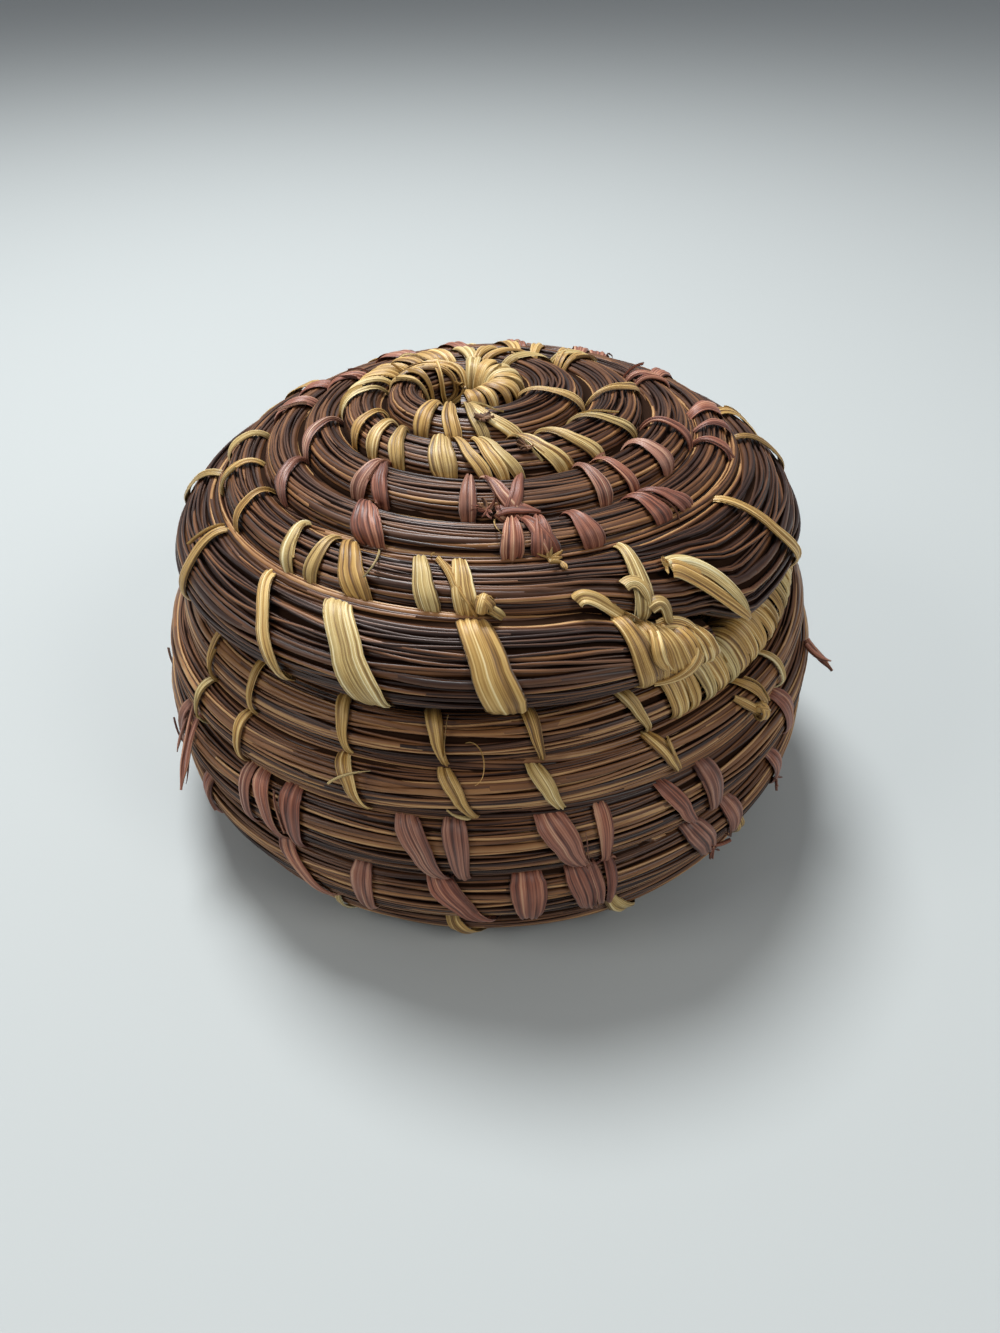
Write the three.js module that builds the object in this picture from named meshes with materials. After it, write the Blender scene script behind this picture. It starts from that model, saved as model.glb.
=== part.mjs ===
// A small round basket with a loose lid, coiled from bundles of pine needles and sewn with raffia.
// Millimetres, +Z up. The origin is on the table under the middle of the basket; -Y is the front.
// Each coil is one spiral bundle from its centre hole to its rim, growing anticlockwise from above.
import * as THREE from 'three';
import { mergeVertices } from 'three/addons/utils/BufferGeometryUtils.js';

// Basket wall, along the middle of its thickness
const FOOT_INNER_RADIUS = 40;
const FOOT_OUTER_RADIUS = 51;
const BASE_DISH = 1.8;
const BELLY_RADIUS = 60.5;
const BELLY_HEIGHT = 25;
const MOUTH_RADIUS = 49.5;
const MOUTH_HEIGHT = 53;
const FOOT_CUT = 0.5;

// The foot course is sewn lower than its neighbours, so that only needles meet the table
const FOOT_DROP = 2.2;
const FOOT_FIRST_TURN = 5;
const FOOT_LAST_TURN = 5.7;
const FOOT_BLEND_TURNS = 0.3;

// How far each end of a wall curve runs straight on, as a share of that curve's width or height
const BASE_CENTRE_PULL = 0.5;
const BASE_EDGE_PULL = 0.25;
const BELLY_FOOT_PULL = 0.75;
const BELLY_LOWER_PULL = 0.55;
const BELLY_UPPER_PULL = 0.5;
const MOUTH_INWARD_PULL = 0.6;
const MOUTH_DOWNWARD_PULL = 0.25;
const DOME_CROWN_PULL = 0.6;
const DOME_RIM_PULL = 0.42;

// Lid dome, along the middle of its thickness, from its own rim up
const LID_RADIUS = 55.5;
const LID_DOME_HEIGHT = 25.2;

// The lid's centre hole lies to the left of its middle, and the courses even this out towards the rim
const HOLE_DRIFT = new THREE.Vector3(-4.8, 0.7, 0);
const HOLE_DRIFT_REACH = 36;

// Needle bundles
const BUNDLE_THICKNESS = 8.4;
const BASKET_HOLE_RADIUS = 3;
const LID_HOLE_RADIUS = 3;
const BASKET_COURSES = [4, 8.5, 8.5, 8.5, 8.5, 9.5, 10.5, 12.5, 12.5, 8, 8, 7];
const LID_COURSES = [4.5, 10, 9, 8.5, 7, 9, 12.5, 12];
const BASKET_TURNS = 10.36;
const LID_TURNS = 6.12;
const END_TAPER_LENGTH = 22;
const END_TAPER_SHARE = 0.45;
const WALL_RIM = { rise: 0, levelling: 0.35, endShare: END_TAPER_SHARE };
const LID_RIM = { rise: 0.42, levelling: 0.38, endShare: 0.8 };
const RING_RIM = { rise: 0, levelling: 0, endShare: END_TAPER_SHARE };
const SECTION_CORNERS = 6;
const SHOULDER_SHARE = 0.6;
const THICKEST_TO_WIDTH = 1.5;
const FACET_LENGTH = 10;
const WIDEST_FACET_ANGLE = THREE.MathUtils.degToRad(24);

// The handmade wall stands a little higher at the back right, and the lid lies higher at the front right
const WALL_LEAN = { rise: 3, azimuth: THREE.MathUtils.degToRad(35) };
const LID_LEAN = { rise: 2.5, azimuth: THREE.MathUtils.degToRad(-43) };

// Raffia strands
const STRAND_THICKNESS = 0.4;
const STRAND_CLEARANCE = 0.3;
const RIDGE_ROOM = 0.4;
const TIP_WIDTH_SHARE = 0.45;
const STITCH_LEAN = 3;
const TURN_IN_LENGTH = 1;
const HOLE_STITCH = 2.2;
const FINE_STITCH = 3.2;
const NARROW_STITCH = 4;
const WIDE_STITCH = 5;
const ROSE_WALL_STITCH = 6;
const LID_RIM_STITCH = 7;
const FULL_WIDTH_REACH = 0.2;
const SHOULDER_WIDTH_SHARE = 0.85;
const NEXT_STITCH_SHARE = 0.25;
const BEHIND_STEP_LENGTH = 14;
const BEHIND_REACH = 0.2;
const LEAST_SPAN_LENGTH = 5;

// Locating ring sewn under the lid, inside the mouth
const RING_COURSE = 5.2;
const RING_TURNS = 1.5;
const RING_THICKNESS = 4.6;
const RING_SIDE_CLEARANCE = 3;

// Small pieces
const KNOT_RADIUS = 1.5;
const KNOT_STRAND_RADIUS = 0.55;
const KNOT_WINDINGS = 2;
const KNOT_LOOPS = 3;
const KNOT_STEPS = 28;
const KNOT_SIDES = 5;
const KNOT_DEPTH_SHARE = 0.5;
const WELD_DISTANCE = 1e-3;
const BASKET_KNOT = { course: 9, azimuth: -42 };
const LID_KNOT = { course: 5, azimuth: -79 };
const LOOSE_END_WIDTH = 4;
const LOOSE_END_NARROWING = 0.2;
const LOOSE_END_RIGHT = { course: 8, azimuth: -20, heightsOff: [0, 1.2, 3], drops: [0, 3, 6] };
const LOOSE_END_LEFT = { course: 8, azimuth: -156, heightsOff: [0, 1, 1.6], drops: [0, 4, 9] };
const SEAT_GAP = 0.3;
const MAP_CELL = 0.8;

// Azimuths in degrees over which a strand goes once round, and where the first stitch may start
const ROUND_FROM = -270;
const ROUND_TO = 90;
const COIL_START = -88;
const RING_START = -80;
const RING_END = 250;

const FULL_TURN = 2 * Math.PI;
const FRONT = -FULL_TURN / 4;
const STRAND_STAND_OFF = STRAND_THICKNESS + STRAND_CLEARANCE;
const COURSE_GAP = 2 * STRAND_STAND_OFF + 2 * STRAND_CLEARANCE + RIDGE_ROOM;
const NO_DRIFT = new THREE.Vector3();
const OUTSIDE = 1;
const INSIDE = -1;

const needles = new THREE.MeshStandardMaterial({ color: 0x5c3d26, roughness: 0.45, metalness: 0 });
const tanRaffia = new THREE.MeshStandardMaterial({ color: 0xc59a55, roughness: 0.6, metalness: 0 });
const roseRaffia = new THREE.MeshStandardMaterial({ color: 0x97594b, roughness: 0.65, metalness: 0 });

// Profiles: radius as x, height as y
function basketProfile() {
  const footHeight = BUNDLE_THICKNESS / 2 - FOOT_CUT + FOOT_DROP;
  const footToBelly = BELLY_RADIUS - FOOT_OUTER_RADIUS;
  const bellyRise = BELLY_HEIGHT - footHeight;
  const mouthRise = MOUTH_HEIGHT - BELLY_HEIGHT;
  const path = new THREE.Path();
  path.moveTo(0, footHeight + BASE_DISH);
  path.bezierCurveTo(
    FOOT_INNER_RADIUS * BASE_CENTRE_PULL, footHeight + BASE_DISH,
    FOOT_INNER_RADIUS * (1 - BASE_EDGE_PULL), footHeight,
    FOOT_INNER_RADIUS, footHeight);
  path.lineTo(FOOT_OUTER_RADIUS, footHeight);
  path.bezierCurveTo(
    FOOT_OUTER_RADIUS + footToBelly * BELLY_FOOT_PULL, footHeight,
    BELLY_RADIUS, BELLY_HEIGHT - bellyRise * BELLY_LOWER_PULL,
    BELLY_RADIUS, BELLY_HEIGHT);
  path.bezierCurveTo(
    BELLY_RADIUS, BELLY_HEIGHT + mouthRise * BELLY_UPPER_PULL,
    THREE.MathUtils.lerp(MOUTH_RADIUS, BELLY_RADIUS, MOUTH_INWARD_PULL),
    MOUTH_HEIGHT - mouthRise * MOUTH_DOWNWARD_PULL,
    MOUTH_RADIUS, MOUTH_HEIGHT);
  return path;
}

function lidProfile() {
  const path = new THREE.Path();
  path.moveTo(0, LID_DOME_HEIGHT);
  path.bezierCurveTo(
    LID_RADIUS * DOME_CROWN_PULL, LID_DOME_HEIGHT,
    LID_RADIUS, LID_DOME_HEIGHT * DOME_RIM_PULL,
    LID_RADIUS, 0);
  return path;
}

function ringProfile(radius) {
  const path = new THREE.Path();
  path.moveTo(radius, 0);
  path.lineTo(radius, -RING_COURSE * (RING_TURNS + 1));
  return path;
}

// Distance along the profile of the edge between two courses, for any number of turns
function edgeFinder(courses, holeRadius, turns, profileLength) {
  const edges = [0];
  for (const width of courses) {
    edges.push(edges[edges.length - 1] + width);
  }
  const at = (turn) => {
    const course = Math.min(Math.floor(turn), courses.length - 1);
    return edges[course] + courses[course] * (turn - course);
  };
  const scale = (profileLength - holeRadius) / at(turns + 1);
  return (turn) => holeRadius + at(turn) * scale;
}

// A coil is its list of sections: where each stands, how it is turned and its half sizes
function makeCoil({
  profile, courses, holeRadius, turns, thickness, outerSide, liftAt, rim, drift, taperStart,
}) {
  const length = profile.getLength();
  const edgeAt = edgeFinder(courses, holeRadius, turns, length);
  // Before the end the last turn narrows towards the rim and the one inside it widens as much, and past
  // the end, where nothing lies outside, that one goes on widening towards a level rim
  const levelEdgeAt = (turn) => {
    const pastEnd = (turn - turns) * FULL_TURN * profile.getPoint(1).x;
    const rise = rim.rise * THREE.MathUtils.smoothstep(pastEnd, -END_TAPER_LENGTH, 0)
      + rim.levelling * THREE.MathUtils.smoothstep(pastEnd, 0, END_TAPER_LENGTH);
    return THREE.MathUtils.lerp(edgeAt(turn), length, rise);
  };
  const radiusOf = (distance) => profile.getPoint(THREE.MathUtils.clamp(distance / length, 0, 1)).x;
  const driftAt = (distance) => {
    const share = 1 - THREE.MathUtils.smoothstep(radiusOf(distance), 0, HOLE_DRIFT_REACH);
    return drift.clone().multiplyScalar(share);
  };
  const sectionAt = (turn, travelled) => {
    const inner = levelEdgeAt(turn);
    const outer = levelEdgeAt(turn + 1);
    const share = THREE.MathUtils.clamp((inner + outer) / 2 / length, 0, 1);
    const place = profile.getPoint(share);
    const tangent = profile.getTangent(share);
    const azimuth = FRONT + turn * FULL_TURN;
    const outward = new THREE.Vector3(Math.cos(azimuth), Math.sin(azimuth), 0);
    const centre = outward.clone().multiplyScalar(place.x).setZ(place.y + liftAt(turn, place, azimuth));
    const along = outward.clone().multiplyScalar(tangent.x).setZ(tangent.y);
    const across = outward.clone().multiplyScalar(-outerSide * tangent.y).setZ(outerSide * tangent.x);
    const innerDrift = driftAt(inner);
    const outerDrift = driftAt(outer);
    centre.add(innerDrift.clone().lerp(outerDrift, 0.5));
    const widening = outerDrift.clone().sub(innerDrift).dot(outward);
    const halfWidth = (outer - inner + widening - COURSE_GAP) / 2;
    const halfThickness = Math.min(thickness / 2, halfWidth * THICKEST_TO_WIDTH);
    return { turn, travelled, radius: place.x, centre, along, across, halfWidth, halfThickness };
  };
  const sections = [sectionAt(0, 0)];
  while (sections[sections.length - 1].turn < turns) {
    const before = sections[sections.length - 1];
    const angle = Math.min(FACET_LENGTH / before.radius, WIDEST_FACET_ANGLE);
    const turn = Math.min(before.turn + angle / FULL_TURN, turns);
    sections.push(sectionAt(turn, before.travelled + (turn - before.turn) * FULL_TURN * before.radius));
  }
  const total = sections[sections.length - 1].travelled;
  for (const section of sections) {
    const toEnd = Math.min(total - section.travelled, taperStart ? section.travelled : Infinity);
    const fullness = THREE.MathUtils.smoothstep(toEnd, 0, END_TAPER_LENGTH);
    const size = THREE.MathUtils.lerp(rim.endShare, 1, fullness);
    section.halfWidth *= size;
    section.halfThickness *= size;
  }
  return sections;
}

// Corners of a section grown by an offset: 0 is the tip towards the next course, 3 the tip towards
// the course before, 1 and 2 the outer shoulders, 4 and 5 the inner ones
function sectionCorner(section, corner, offset) {
  const shoulder = section.halfWidth * SHOULDER_SHARE;
  const drop = section.halfWidth - shoulder;
  const slant = Math.hypot(section.halfThickness, drop);
  const tipX = section.halfWidth + offset * slant / section.halfThickness;
  const shoulderX = shoulder + offset * (slant - drop) / section.halfThickness;
  const shoulderY = section.halfThickness + offset;
  const isTip = corner % 3 === 0;
  const towardsNext = corner < 2 || corner === 5 ? 1 : -1;
  const x = towardsNext * (isTip ? tipX : shoulderX);
  const y = isTip ? 0 : (corner < 3 ? shoulderY : -shoulderY);
  return section.centre.clone().addScaledVector(section.along, x).addScaledVector(section.across, y);
}

function sectionIndex(coil, turn) {
  let index = 0;
  while (index < coil.length - 2 && coil[index + 1].turn < turn) {
    index += 1;
  }
  return index;
}

// A point held off the faceted coil, on one corner line or, for a broken number, between two of them
function coilPoint(coil, turn, corner, offset) {
  const index = sectionIndex(coil, turn);
  const before = coil[index];
  const after = coil[index + 1];
  const share = THREE.MathUtils.clamp((turn - before.turn) / (after.turn - before.turn), 0, 1);
  const onSection = (section) => sectionCorner(section, Math.floor(corner), offset)
    .lerp(sectionCorner(section, Math.ceil(corner), offset), corner % 1);
  return onSection(before).lerp(onSection(after), share);
}

function radiusAt(coil, turn) {
  return coil[sectionIndex(coil, turn)].radius;
}

// How far a flat strip of a given half width must stand off to clear the ridge between two facets
function ridgeLift(coil, turn, halfWidth) {
  const index = sectionIndex(coil, turn);
  const step = (coil[index + 1].turn - coil[index].turn) * FULL_TURN;
  return halfWidth * Math.sin(step / 2);
}

// One closed body from rings of equal point counts, with its faces turned outwards. The second half of
// the sides is cut along the other diagonal, so that both faces of a strip bend along the same lines.
function tubeGeometry(rings, floorHeight = -Infinity) {
  const count = rings[0].length;
  const positions = [];
  for (const point of rings.flat()) {
    positions.push(point.x, point.y, Math.max(point.z, floorHeight));
  }
  const indices = [];
  for (let ring = 0; ring < rings.length - 1; ring += 1) {
    for (let side = 0; side < count; side += 1) {
      const a = ring * count + side;
      const b = ring * count + (side + 1) % count;
      if (side < count / 2) {
        indices.push(a, b, b + count, a, b + count, a + count);
      } else {
        indices.push(a, b, a + count, b, b + count, a + count);
      }
    }
  }
  const lastRing = (rings.length - 1) * count;
  for (let side = 1; side < count - 1; side += 1) {
    indices.push(0, side + 1, side);
    indices.push(lastRing, lastRing + side, lastRing + side + 1);
  }
  const geometry = new THREE.BufferGeometry();
  geometry.setAttribute('position', new THREE.Float32BufferAttribute(positions, 3));
  geometry.setIndex(indices);
  if (signedVolume(geometry) < 0) {
    indices.reverse();
    geometry.setIndex(indices);
  }
  geometry.computeVertexNormals();
  return geometry;
}

function signedVolume(geometry) {
  const position = geometry.getAttribute('position');
  const index = geometry.getIndex();
  const corners = [new THREE.Vector3(), new THREE.Vector3(), new THREE.Vector3()];
  let volume = 0;
  for (let start = 0; start < index.count; start += 3) {
    corners.forEach((corner, offset) => corner.fromBufferAttribute(position, index.getX(start + offset)));
    volume += corners[0].dot(corners[1].clone().cross(corners[2])) / 6;
  }
  return volume;
}

function coilGeometry(coil, floorHeight) {
  const corners = [...Array(SECTION_CORNERS).keys()];
  const rings = coil.map((section) => corners.map((corner) => sectionCorner(section, corner, 0)));
  return tubeGeometry(rings, floorHeight);
}

// The least gap between a coil's neighbouring turns, measured from tip to tip
function leastTurnGap(coil) {
  let least = Infinity;
  const lastTurn = coil[coil.length - 1].turn;
  for (const section of coil) {
    if (section.turn + 1 <= lastTurn) {
      const tip = sectionCorner(section, 0, 0);
      const facing = coilPoint(coil, section.turn + 1, 3, 0);
      least = Math.min(least, tip.distanceTo(facing));
    }
  }
  return least;
}

// A strand winds once round its bundle for each stitch: over the outside, then along behind it
function strandGeometry(coil, stitches, leanLength) {
  const stops = [];
  const addStop = (turn, corner, width) => stops.push({ turn, corner, halfWidth: width / 2, reach: 0 });
  const addStopBehind = (turn, corner) => stops.push({ turn, corner, halfWidth: 0, reach: BEHIND_REACH });
  stitches.forEach((stitch, index) => {
    const circumference = FULL_TURN * radiusAt(coil, stitch.turn);
    const lean = leanLength / circumference;
    const turnIn = TURN_IN_LENGTH / circumference;
    const tipWidth = stitch.width * TIP_WIDTH_SHARE;
    const next = stitches[index + 1];
    addStop(stitch.turn - lean / 2 - turnIn, 4, tipWidth);
    addStop(stitch.turn - lean / 2, 3, tipWidth);
    addStop(stitch.turn - lean * FULL_WIDTH_REACH, 2, stitch.width * SHOULDER_WIDTH_SHARE);
    addStop(stitch.turn + lean * FULL_WIDTH_REACH, 1, stitch.width);
    addStop(stitch.turn + lean / 2, 0, tipWidth);
    const gapToNext = next ? next.turn - stitch.turn : Infinity;
    const behind = stitch.turn + lean / 2 + Math.min(turnIn, gapToNext * NEXT_STITCH_SHARE);
    addStop(behind, 5, tipWidth);
    const span = next ? next.turn - lean / 2 - turnIn - behind : 0;
    const spanLength = span * circumference;
    const stopsBehind = spanLength < LEAST_SPAN_LENGTH ? 0 : Math.ceil(spanLength / BEHIND_STEP_LENGTH) + 1;
    for (let stop = 0; stop < stopsBehind; stop += 1) {
      const share = (stop + 0.5) / stopsBehind;
      addStopBehind(behind + span * share, 5 - BEHIND_REACH - share * (1 - 2 * BEHIND_REACH));
    }
  });
  const rings = stops.map((stop) => {
    const ahead = stop.halfWidth / (FULL_TURN * radiusAt(coil, stop.turn));
    const near = STRAND_CLEARANCE + ridgeLift(coil, stop.turn, stop.halfWidth);
    const far = near + STRAND_THICKNESS;
    return [
      coilPoint(coil, stop.turn - ahead, stop.corner - stop.reach, near),
      coilPoint(coil, stop.turn + ahead, stop.corner + stop.reach, near),
      coilPoint(coil, stop.turn + ahead, stop.corner + stop.reach, far),
      coilPoint(coil, stop.turn - ahead, stop.corner - stop.reach, far),
    ];
  });
  return tubeGeometry(rings);
}

// A course is numbered where it passes the front, and azimuths are in degrees
function turnAt(course, azimuth) {
  return course + THREE.MathUtils.degToRad(azimuth) / FULL_TURN - FRONT / FULL_TURN;
}

function stitchesAt(course, azimuths, width) {
  return azimuths.map((azimuth) => ({ turn: turnAt(course, azimuth), width }));
}

function evenStitches(course, count, width, from = ROUND_FROM, to = ROUND_TO) {
  const azimuths = Array.from({ length: count }, (_, index) => from + (to - from) * (index + 0.5) / count);
  return stitchesAt(course, azimuths, width);
}

function knotGeometry(centre, facing) {
  const knot = new THREE.TorusKnotGeometry(
    KNOT_RADIUS, KNOT_STRAND_RADIUS, KNOT_STEPS, KNOT_SIDES, KNOT_WINDINGS, KNOT_LOOPS);
  knot.applyQuaternion(new THREE.Quaternion().setFromUnitVectors(new THREE.Vector3(0, 0, 1), facing));
  knot.translate(centre.x, centre.y, centre.z);
  knot.deleteAttribute('normal');
  knot.deleteAttribute('uv');
  const merged = mergeVertices(knot, WELD_DISTANCE);
  merged.computeVertexNormals();
  return merged;
}

// A knot lies on the outer side of a bundle, just off the strand that it closes
function knotOnCoil(coil, { course, azimuth }) {
  const turn = turnAt(course, azimuth);
  const section = coil[sectionIndex(coil, turn)];
  const halfHeight = KNOT_RADIUS * KNOT_DEPTH_SHARE + KNOT_STRAND_RADIUS;
  const middle = coilPoint(coil, turn, 1, 0).lerp(coilPoint(coil, turn, 2, 0), 0.5);
  middle.addScaledVector(section.across, halfHeight + SEAT_GAP);
  return knotGeometry(middle, section.across);
}

// A strand's loose end: a flat strip that leaves the bundle's outer side and curls away from it
function looseEndGeometry(coil, { course, azimuth, heightsOff, drops }) {
  const turn = turnAt(course, azimuth);
  const section = coil[sectionIndex(coil, turn)];
  const sideways = new THREE.Vector3().crossVectors(section.along, section.across).normalize();
  const start = coilPoint(coil, turn, 1, STRAND_CLEARANCE)
    .lerp(coilPoint(coil, turn, 2, STRAND_CLEARANCE), 0.5);
  const rings = heightsOff.map((heightOff, index) => {
    const middle = start.clone().addScaledVector(section.across, heightOff)
      .addScaledVector(section.along, -drops[index]);
    const half = LOOSE_END_WIDTH / 2 * (1 - LOOSE_END_NARROWING * index);
    const left = middle.clone().addScaledVector(sideways, -half);
    const right = middle.clone().addScaledVector(sideways, half);
    const lift = section.across.clone().multiplyScalar(STRAND_THICKNESS);
    return [left, right, right.clone().add(lift), left.clone().add(lift)];
  });
  return tubeGeometry(rings);
}

// The lowest or highest surface over each cell of the table, as the comparison given picks it
function heightMap(geometries, better) {
  const map = new Map();
  const corners = [new THREE.Vector3(), new THREE.Vector3(), new THREE.Vector3()];
  const point = new THREE.Vector3();
  for (const geometry of geometries) {
    const position = geometry.getAttribute('position');
    const index = geometry.getIndex();
    for (let start = 0; start < index.count; start += 3) {
      corners.forEach((corner, offset) => corner.fromBufferAttribute(position, index.getX(start + offset)));
      const longest = Math.max(corners[0].distanceTo(corners[1]), corners[0].distanceTo(corners[2]));
      const steps = Math.ceil(longest / MAP_CELL) + 1;
      for (let i = 0; i <= steps; i += 1) {
        for (let j = 0; j <= steps - i; j += 1) {
          point.copy(corners[0]).multiplyScalar(1 - (i + j) / steps);
          point.addScaledVector(corners[1], i / steps).addScaledVector(corners[2], j / steps);
          const key = `${Math.round(point.x / MAP_CELL)},${Math.round(point.y / MAP_CELL)}`;
          map.set(key, map.has(key) ? better(map.get(key), point.z) : point.z);
        }
      }
    }
  }
  return map;
}

// The distance that the upper pieces must rise so that they clear the lower ones everywhere
function riseToClear(upper, lower, gap) {
  const undersides = heightMap(upper, Math.min);
  const tops = heightMap(lower, Math.max);
  let rise = -Infinity;
  for (const [key, top] of tops) {
    const [column, row] = key.split(',').map(Number);
    for (let i = -1; i <= 1; i += 1) {
      for (let j = -1; j <= 1; j += 1) {
        const underside = undersides.get(`${column + i},${row + j}`);
        if (underside !== undefined) {
          rise = Math.max(rise, top - underside + gap);
        }
      }
    }
  }
  return rise;
}

function addPiece(group, name, geometry, material) {
  const mesh = new THREE.Mesh(geometry, material);
  mesh.name = name;
  group.add(mesh);
  return geometry;
}

function leanHeight(lean, place, azimuth) {
  return lean.rise * Math.cos(azimuth - lean.azimuth) * place.x / BELLY_RADIUS;
}

const wallLean = (place, azimuth) => leanHeight(WALL_LEAN, place, azimuth) * place.y / MOUTH_HEIGHT;
const lidLean = (turn, place, azimuth) => leanHeight(LID_LEAN, place, azimuth);

function footDrop(turn) {
  const begun = THREE.MathUtils.smoothstep(turn, FOOT_FIRST_TURN - FOOT_BLEND_TURNS, FOOT_FIRST_TURN);
  const ended = THREE.MathUtils.smoothstep(turn, FOOT_LAST_TURN, FOOT_LAST_TURN + FOOT_BLEND_TURNS);
  return FOOT_DROP * (begun - ended);
}

// Basket
const basket = new THREE.Group();
const basketCoil = makeCoil({
  profile: basketProfile(),
  courses: BASKET_COURSES,
  holeRadius: BASKET_HOLE_RADIUS,
  turns: BASKET_TURNS,
  thickness: BUNDLE_THICKNESS,
  outerSide: INSIDE,
  liftAt: (turn, place, azimuth) => wallLean(place, azimuth) - footDrop(turn),
  rim: WALL_RIM,
  drift: NO_DRIFT,
  taperStart: false,
});

const BASKET_STRANDS = [
  ['basket_start_wrap', evenStitches(0, 5, HOLE_STITCH, COIL_START), 0, tanRaffia],
  ['base_strand_1', evenStitches(1, 6, FINE_STITCH), 0, tanRaffia],
  ['base_strand_2', evenStitches(2, 8, FINE_STITCH), 0, tanRaffia],
  ['base_strand_3', evenStitches(3, 9, NARROW_STITCH), 0, tanRaffia],
  ['base_strand_4', evenStitches(4, 10, NARROW_STITCH), 0, tanRaffia],
  ['wall_strand_bottom_tan',
    stitchesAt(6, [-112, -90, -67, -40, -12, 25, 65, 100], NARROW_STITCH),
    -STITCH_LEAN, tanRaffia],
  ['wall_strand_lower_rose',
    stitchesAt(7, [-240, -205, -170, -133, -113, -94, -84, -73, -55, -25, 10, 50], ROSE_WALL_STITCH),
    -STITCH_LEAN, roseRaffia],
  ['wall_strand_upper_rose',
    stitchesAt(8, [-235, -200, -168, -142, -121, -98, -79, -60, -37, -8, 30, 65], ROSE_WALL_STITCH),
    -STITCH_LEAN, roseRaffia],
  ['wall_strand_upper_tan',
    stitchesAt(9, [-240, -210, -175, -141, -126, -110, -95, -82, -65, -30, 10, 55], NARROW_STITCH),
    -STITCH_LEAN, tanRaffia],
  ['wall_strand_rim_tan',
    stitchesAt(10, [-245, -215, -180, -144, -130, -114, -98, -84, -69], NARROW_STITCH),
    -STITCH_LEAN, tanRaffia],
  ['basket_end_wrap', evenStitches(10, 11, FINE_STITCH, -56, -7), 0, tanRaffia],
];
const basketSolids = [];
basketSolids.push(addPiece(basket, 'basket_coil', coilGeometry(basketCoil, 0), needles));
for (const [name, stitches, lean, material] of BASKET_STRANDS) {
  basketSolids.push(addPiece(basket, name, strandGeometry(basketCoil, stitches, lean), material));
}
basketSolids.push(addPiece(basket, 'basket_knot', knotOnCoil(basketCoil, BASKET_KNOT), tanRaffia));
addPiece(basket, 'loose_end_right', looseEndGeometry(basketCoil, LOOSE_END_RIGHT), roseRaffia);
addPiece(basket, 'loose_end_left', looseEndGeometry(basketCoil, LOOSE_END_LEFT), roseRaffia);

// Lid
const lid = new THREE.Group();
const lidCoil = makeCoil({
  profile: lidProfile(),
  courses: LID_COURSES,
  holeRadius: LID_HOLE_RADIUS,
  turns: LID_TURNS,
  thickness: BUNDLE_THICKNESS,
  outerSide: OUTSIDE,
  liftAt: lidLean,
  rim: LID_RIM,
  drift: HOLE_DRIFT,
  taperStart: false,
});
const LID_STRANDS = [
  ['lid_start_wrap', evenStitches(0, 6, HOLE_STITCH, COIL_START), 0, tanRaffia],
  ['lid_strand_1_tan',
    stitchesAt(1, [-250, -220, -190, -160, -132, -107, -84, -60, -32, 0, 35, 70], FINE_STITCH),
    STITCH_LEAN / 2, tanRaffia],
  ['lid_strand_2_tan',
    stitchesAt(2, [-245, -212, -180, -152, -128, -105, -86, -66, -45, -20, 12, 50], NARROW_STITCH),
    STITCH_LEAN / 2, tanRaffia],
  ['lid_strand_3_rose',
    stitchesAt(3, [-240, -196, -152, -126, -97, -80, -60, -32, -8, 25, 60], WIDE_STITCH),
    STITCH_LEAN / 2, roseRaffia],
  ['lid_strand_4_rose', stitchesAt(4, [-235, -190, -148, -117, -85, -66, -46, -22, 15, 55], WIDE_STITCH),
    STITCH_LEAN / 2, roseRaffia],
  ['lid_strand_5_tan',
    stitchesAt(5, [-240, -205, -172, -151, -131, -116, -98, -60, -40, -15, 20, 60], WIDE_STITCH),
    STITCH_LEAN / 2, tanRaffia],
  ['lid_strand_rim_tan', stitchesAt(6, [-250, -225, -200, -176, -152, -130, -112, -89], LID_RIM_STITCH),
    STITCH_LEAN, tanRaffia],
  ['lid_end_wrap', evenStitches(6, 4, FINE_STITCH, -67, -51), 0, tanRaffia],
];
const lidSolids = [];
lidSolids.push(addPiece(lid, 'lid_coil', coilGeometry(lidCoil), needles));
for (const [name, stitches, lean, material] of LID_STRANDS) {
  lidSolids.push(addPiece(lid, name, strandGeometry(lidCoil, stitches, lean), material));
}
addPiece(lid, 'lid_knot', knotOnCoil(lidCoil, LID_KNOT), tanRaffia);

// Locating ring: a short coil of its own, sewn up against the underside of the lid
const ringReach = RING_THICKNESS / 2 + STRAND_STAND_OFF + RING_SIDE_CLEARANCE;
const mouthInnerRadius = Math.min(...basketCoil.filter((section) => section.turn > BASKET_TURNS - 1)
  .map((section) => section.radius)) - BUNDLE_THICKNESS / 2;
const ringCoil = makeCoil({
  profile: ringProfile(mouthInnerRadius - ringReach),
  courses: Array(Math.ceil(RING_TURNS) + 1).fill(RING_COURSE),
  holeRadius: 0,
  turns: RING_TURNS,
  thickness: RING_THICKNESS,
  outerSide: OUTSIDE,
  liftAt: lidLean,
  rim: RING_RIM,
  drift: NO_DRIFT,
  taperStart: true,
});
const ringStitches = evenStitches(0, 6, FINE_STITCH, RING_START, RING_END);
const ringSolids = [
  coilGeometry(ringCoil),
  strandGeometry(ringCoil, ringStitches, 0),
];
const ringDrop = riseToClear(lidSolids, ringSolids, SEAT_GAP);
ringSolids.forEach((geometry) => geometry.translate(0, 0, -ringDrop));
lidSolids.push(addPiece(lid, 'lid_locating_ring', ringSolids[0], needles));
lidSolids.push(addPiece(lid, 'lid_ring_strand', ringSolids[1], tanRaffia));

// The lid rests on the basket's rim
lid.position.z = riseToClear(lidSolids, basketSolids, SEAT_GAP);

console.log(`least gap between turns, mm: basket ${leastTurnGap(basketCoil).toFixed(2)},`
  + ` lid ${leastTurnGap(lidCoil).toFixed(2)}, ring ${leastTurnGap(ringCoil).toFixed(2)}`);

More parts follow.
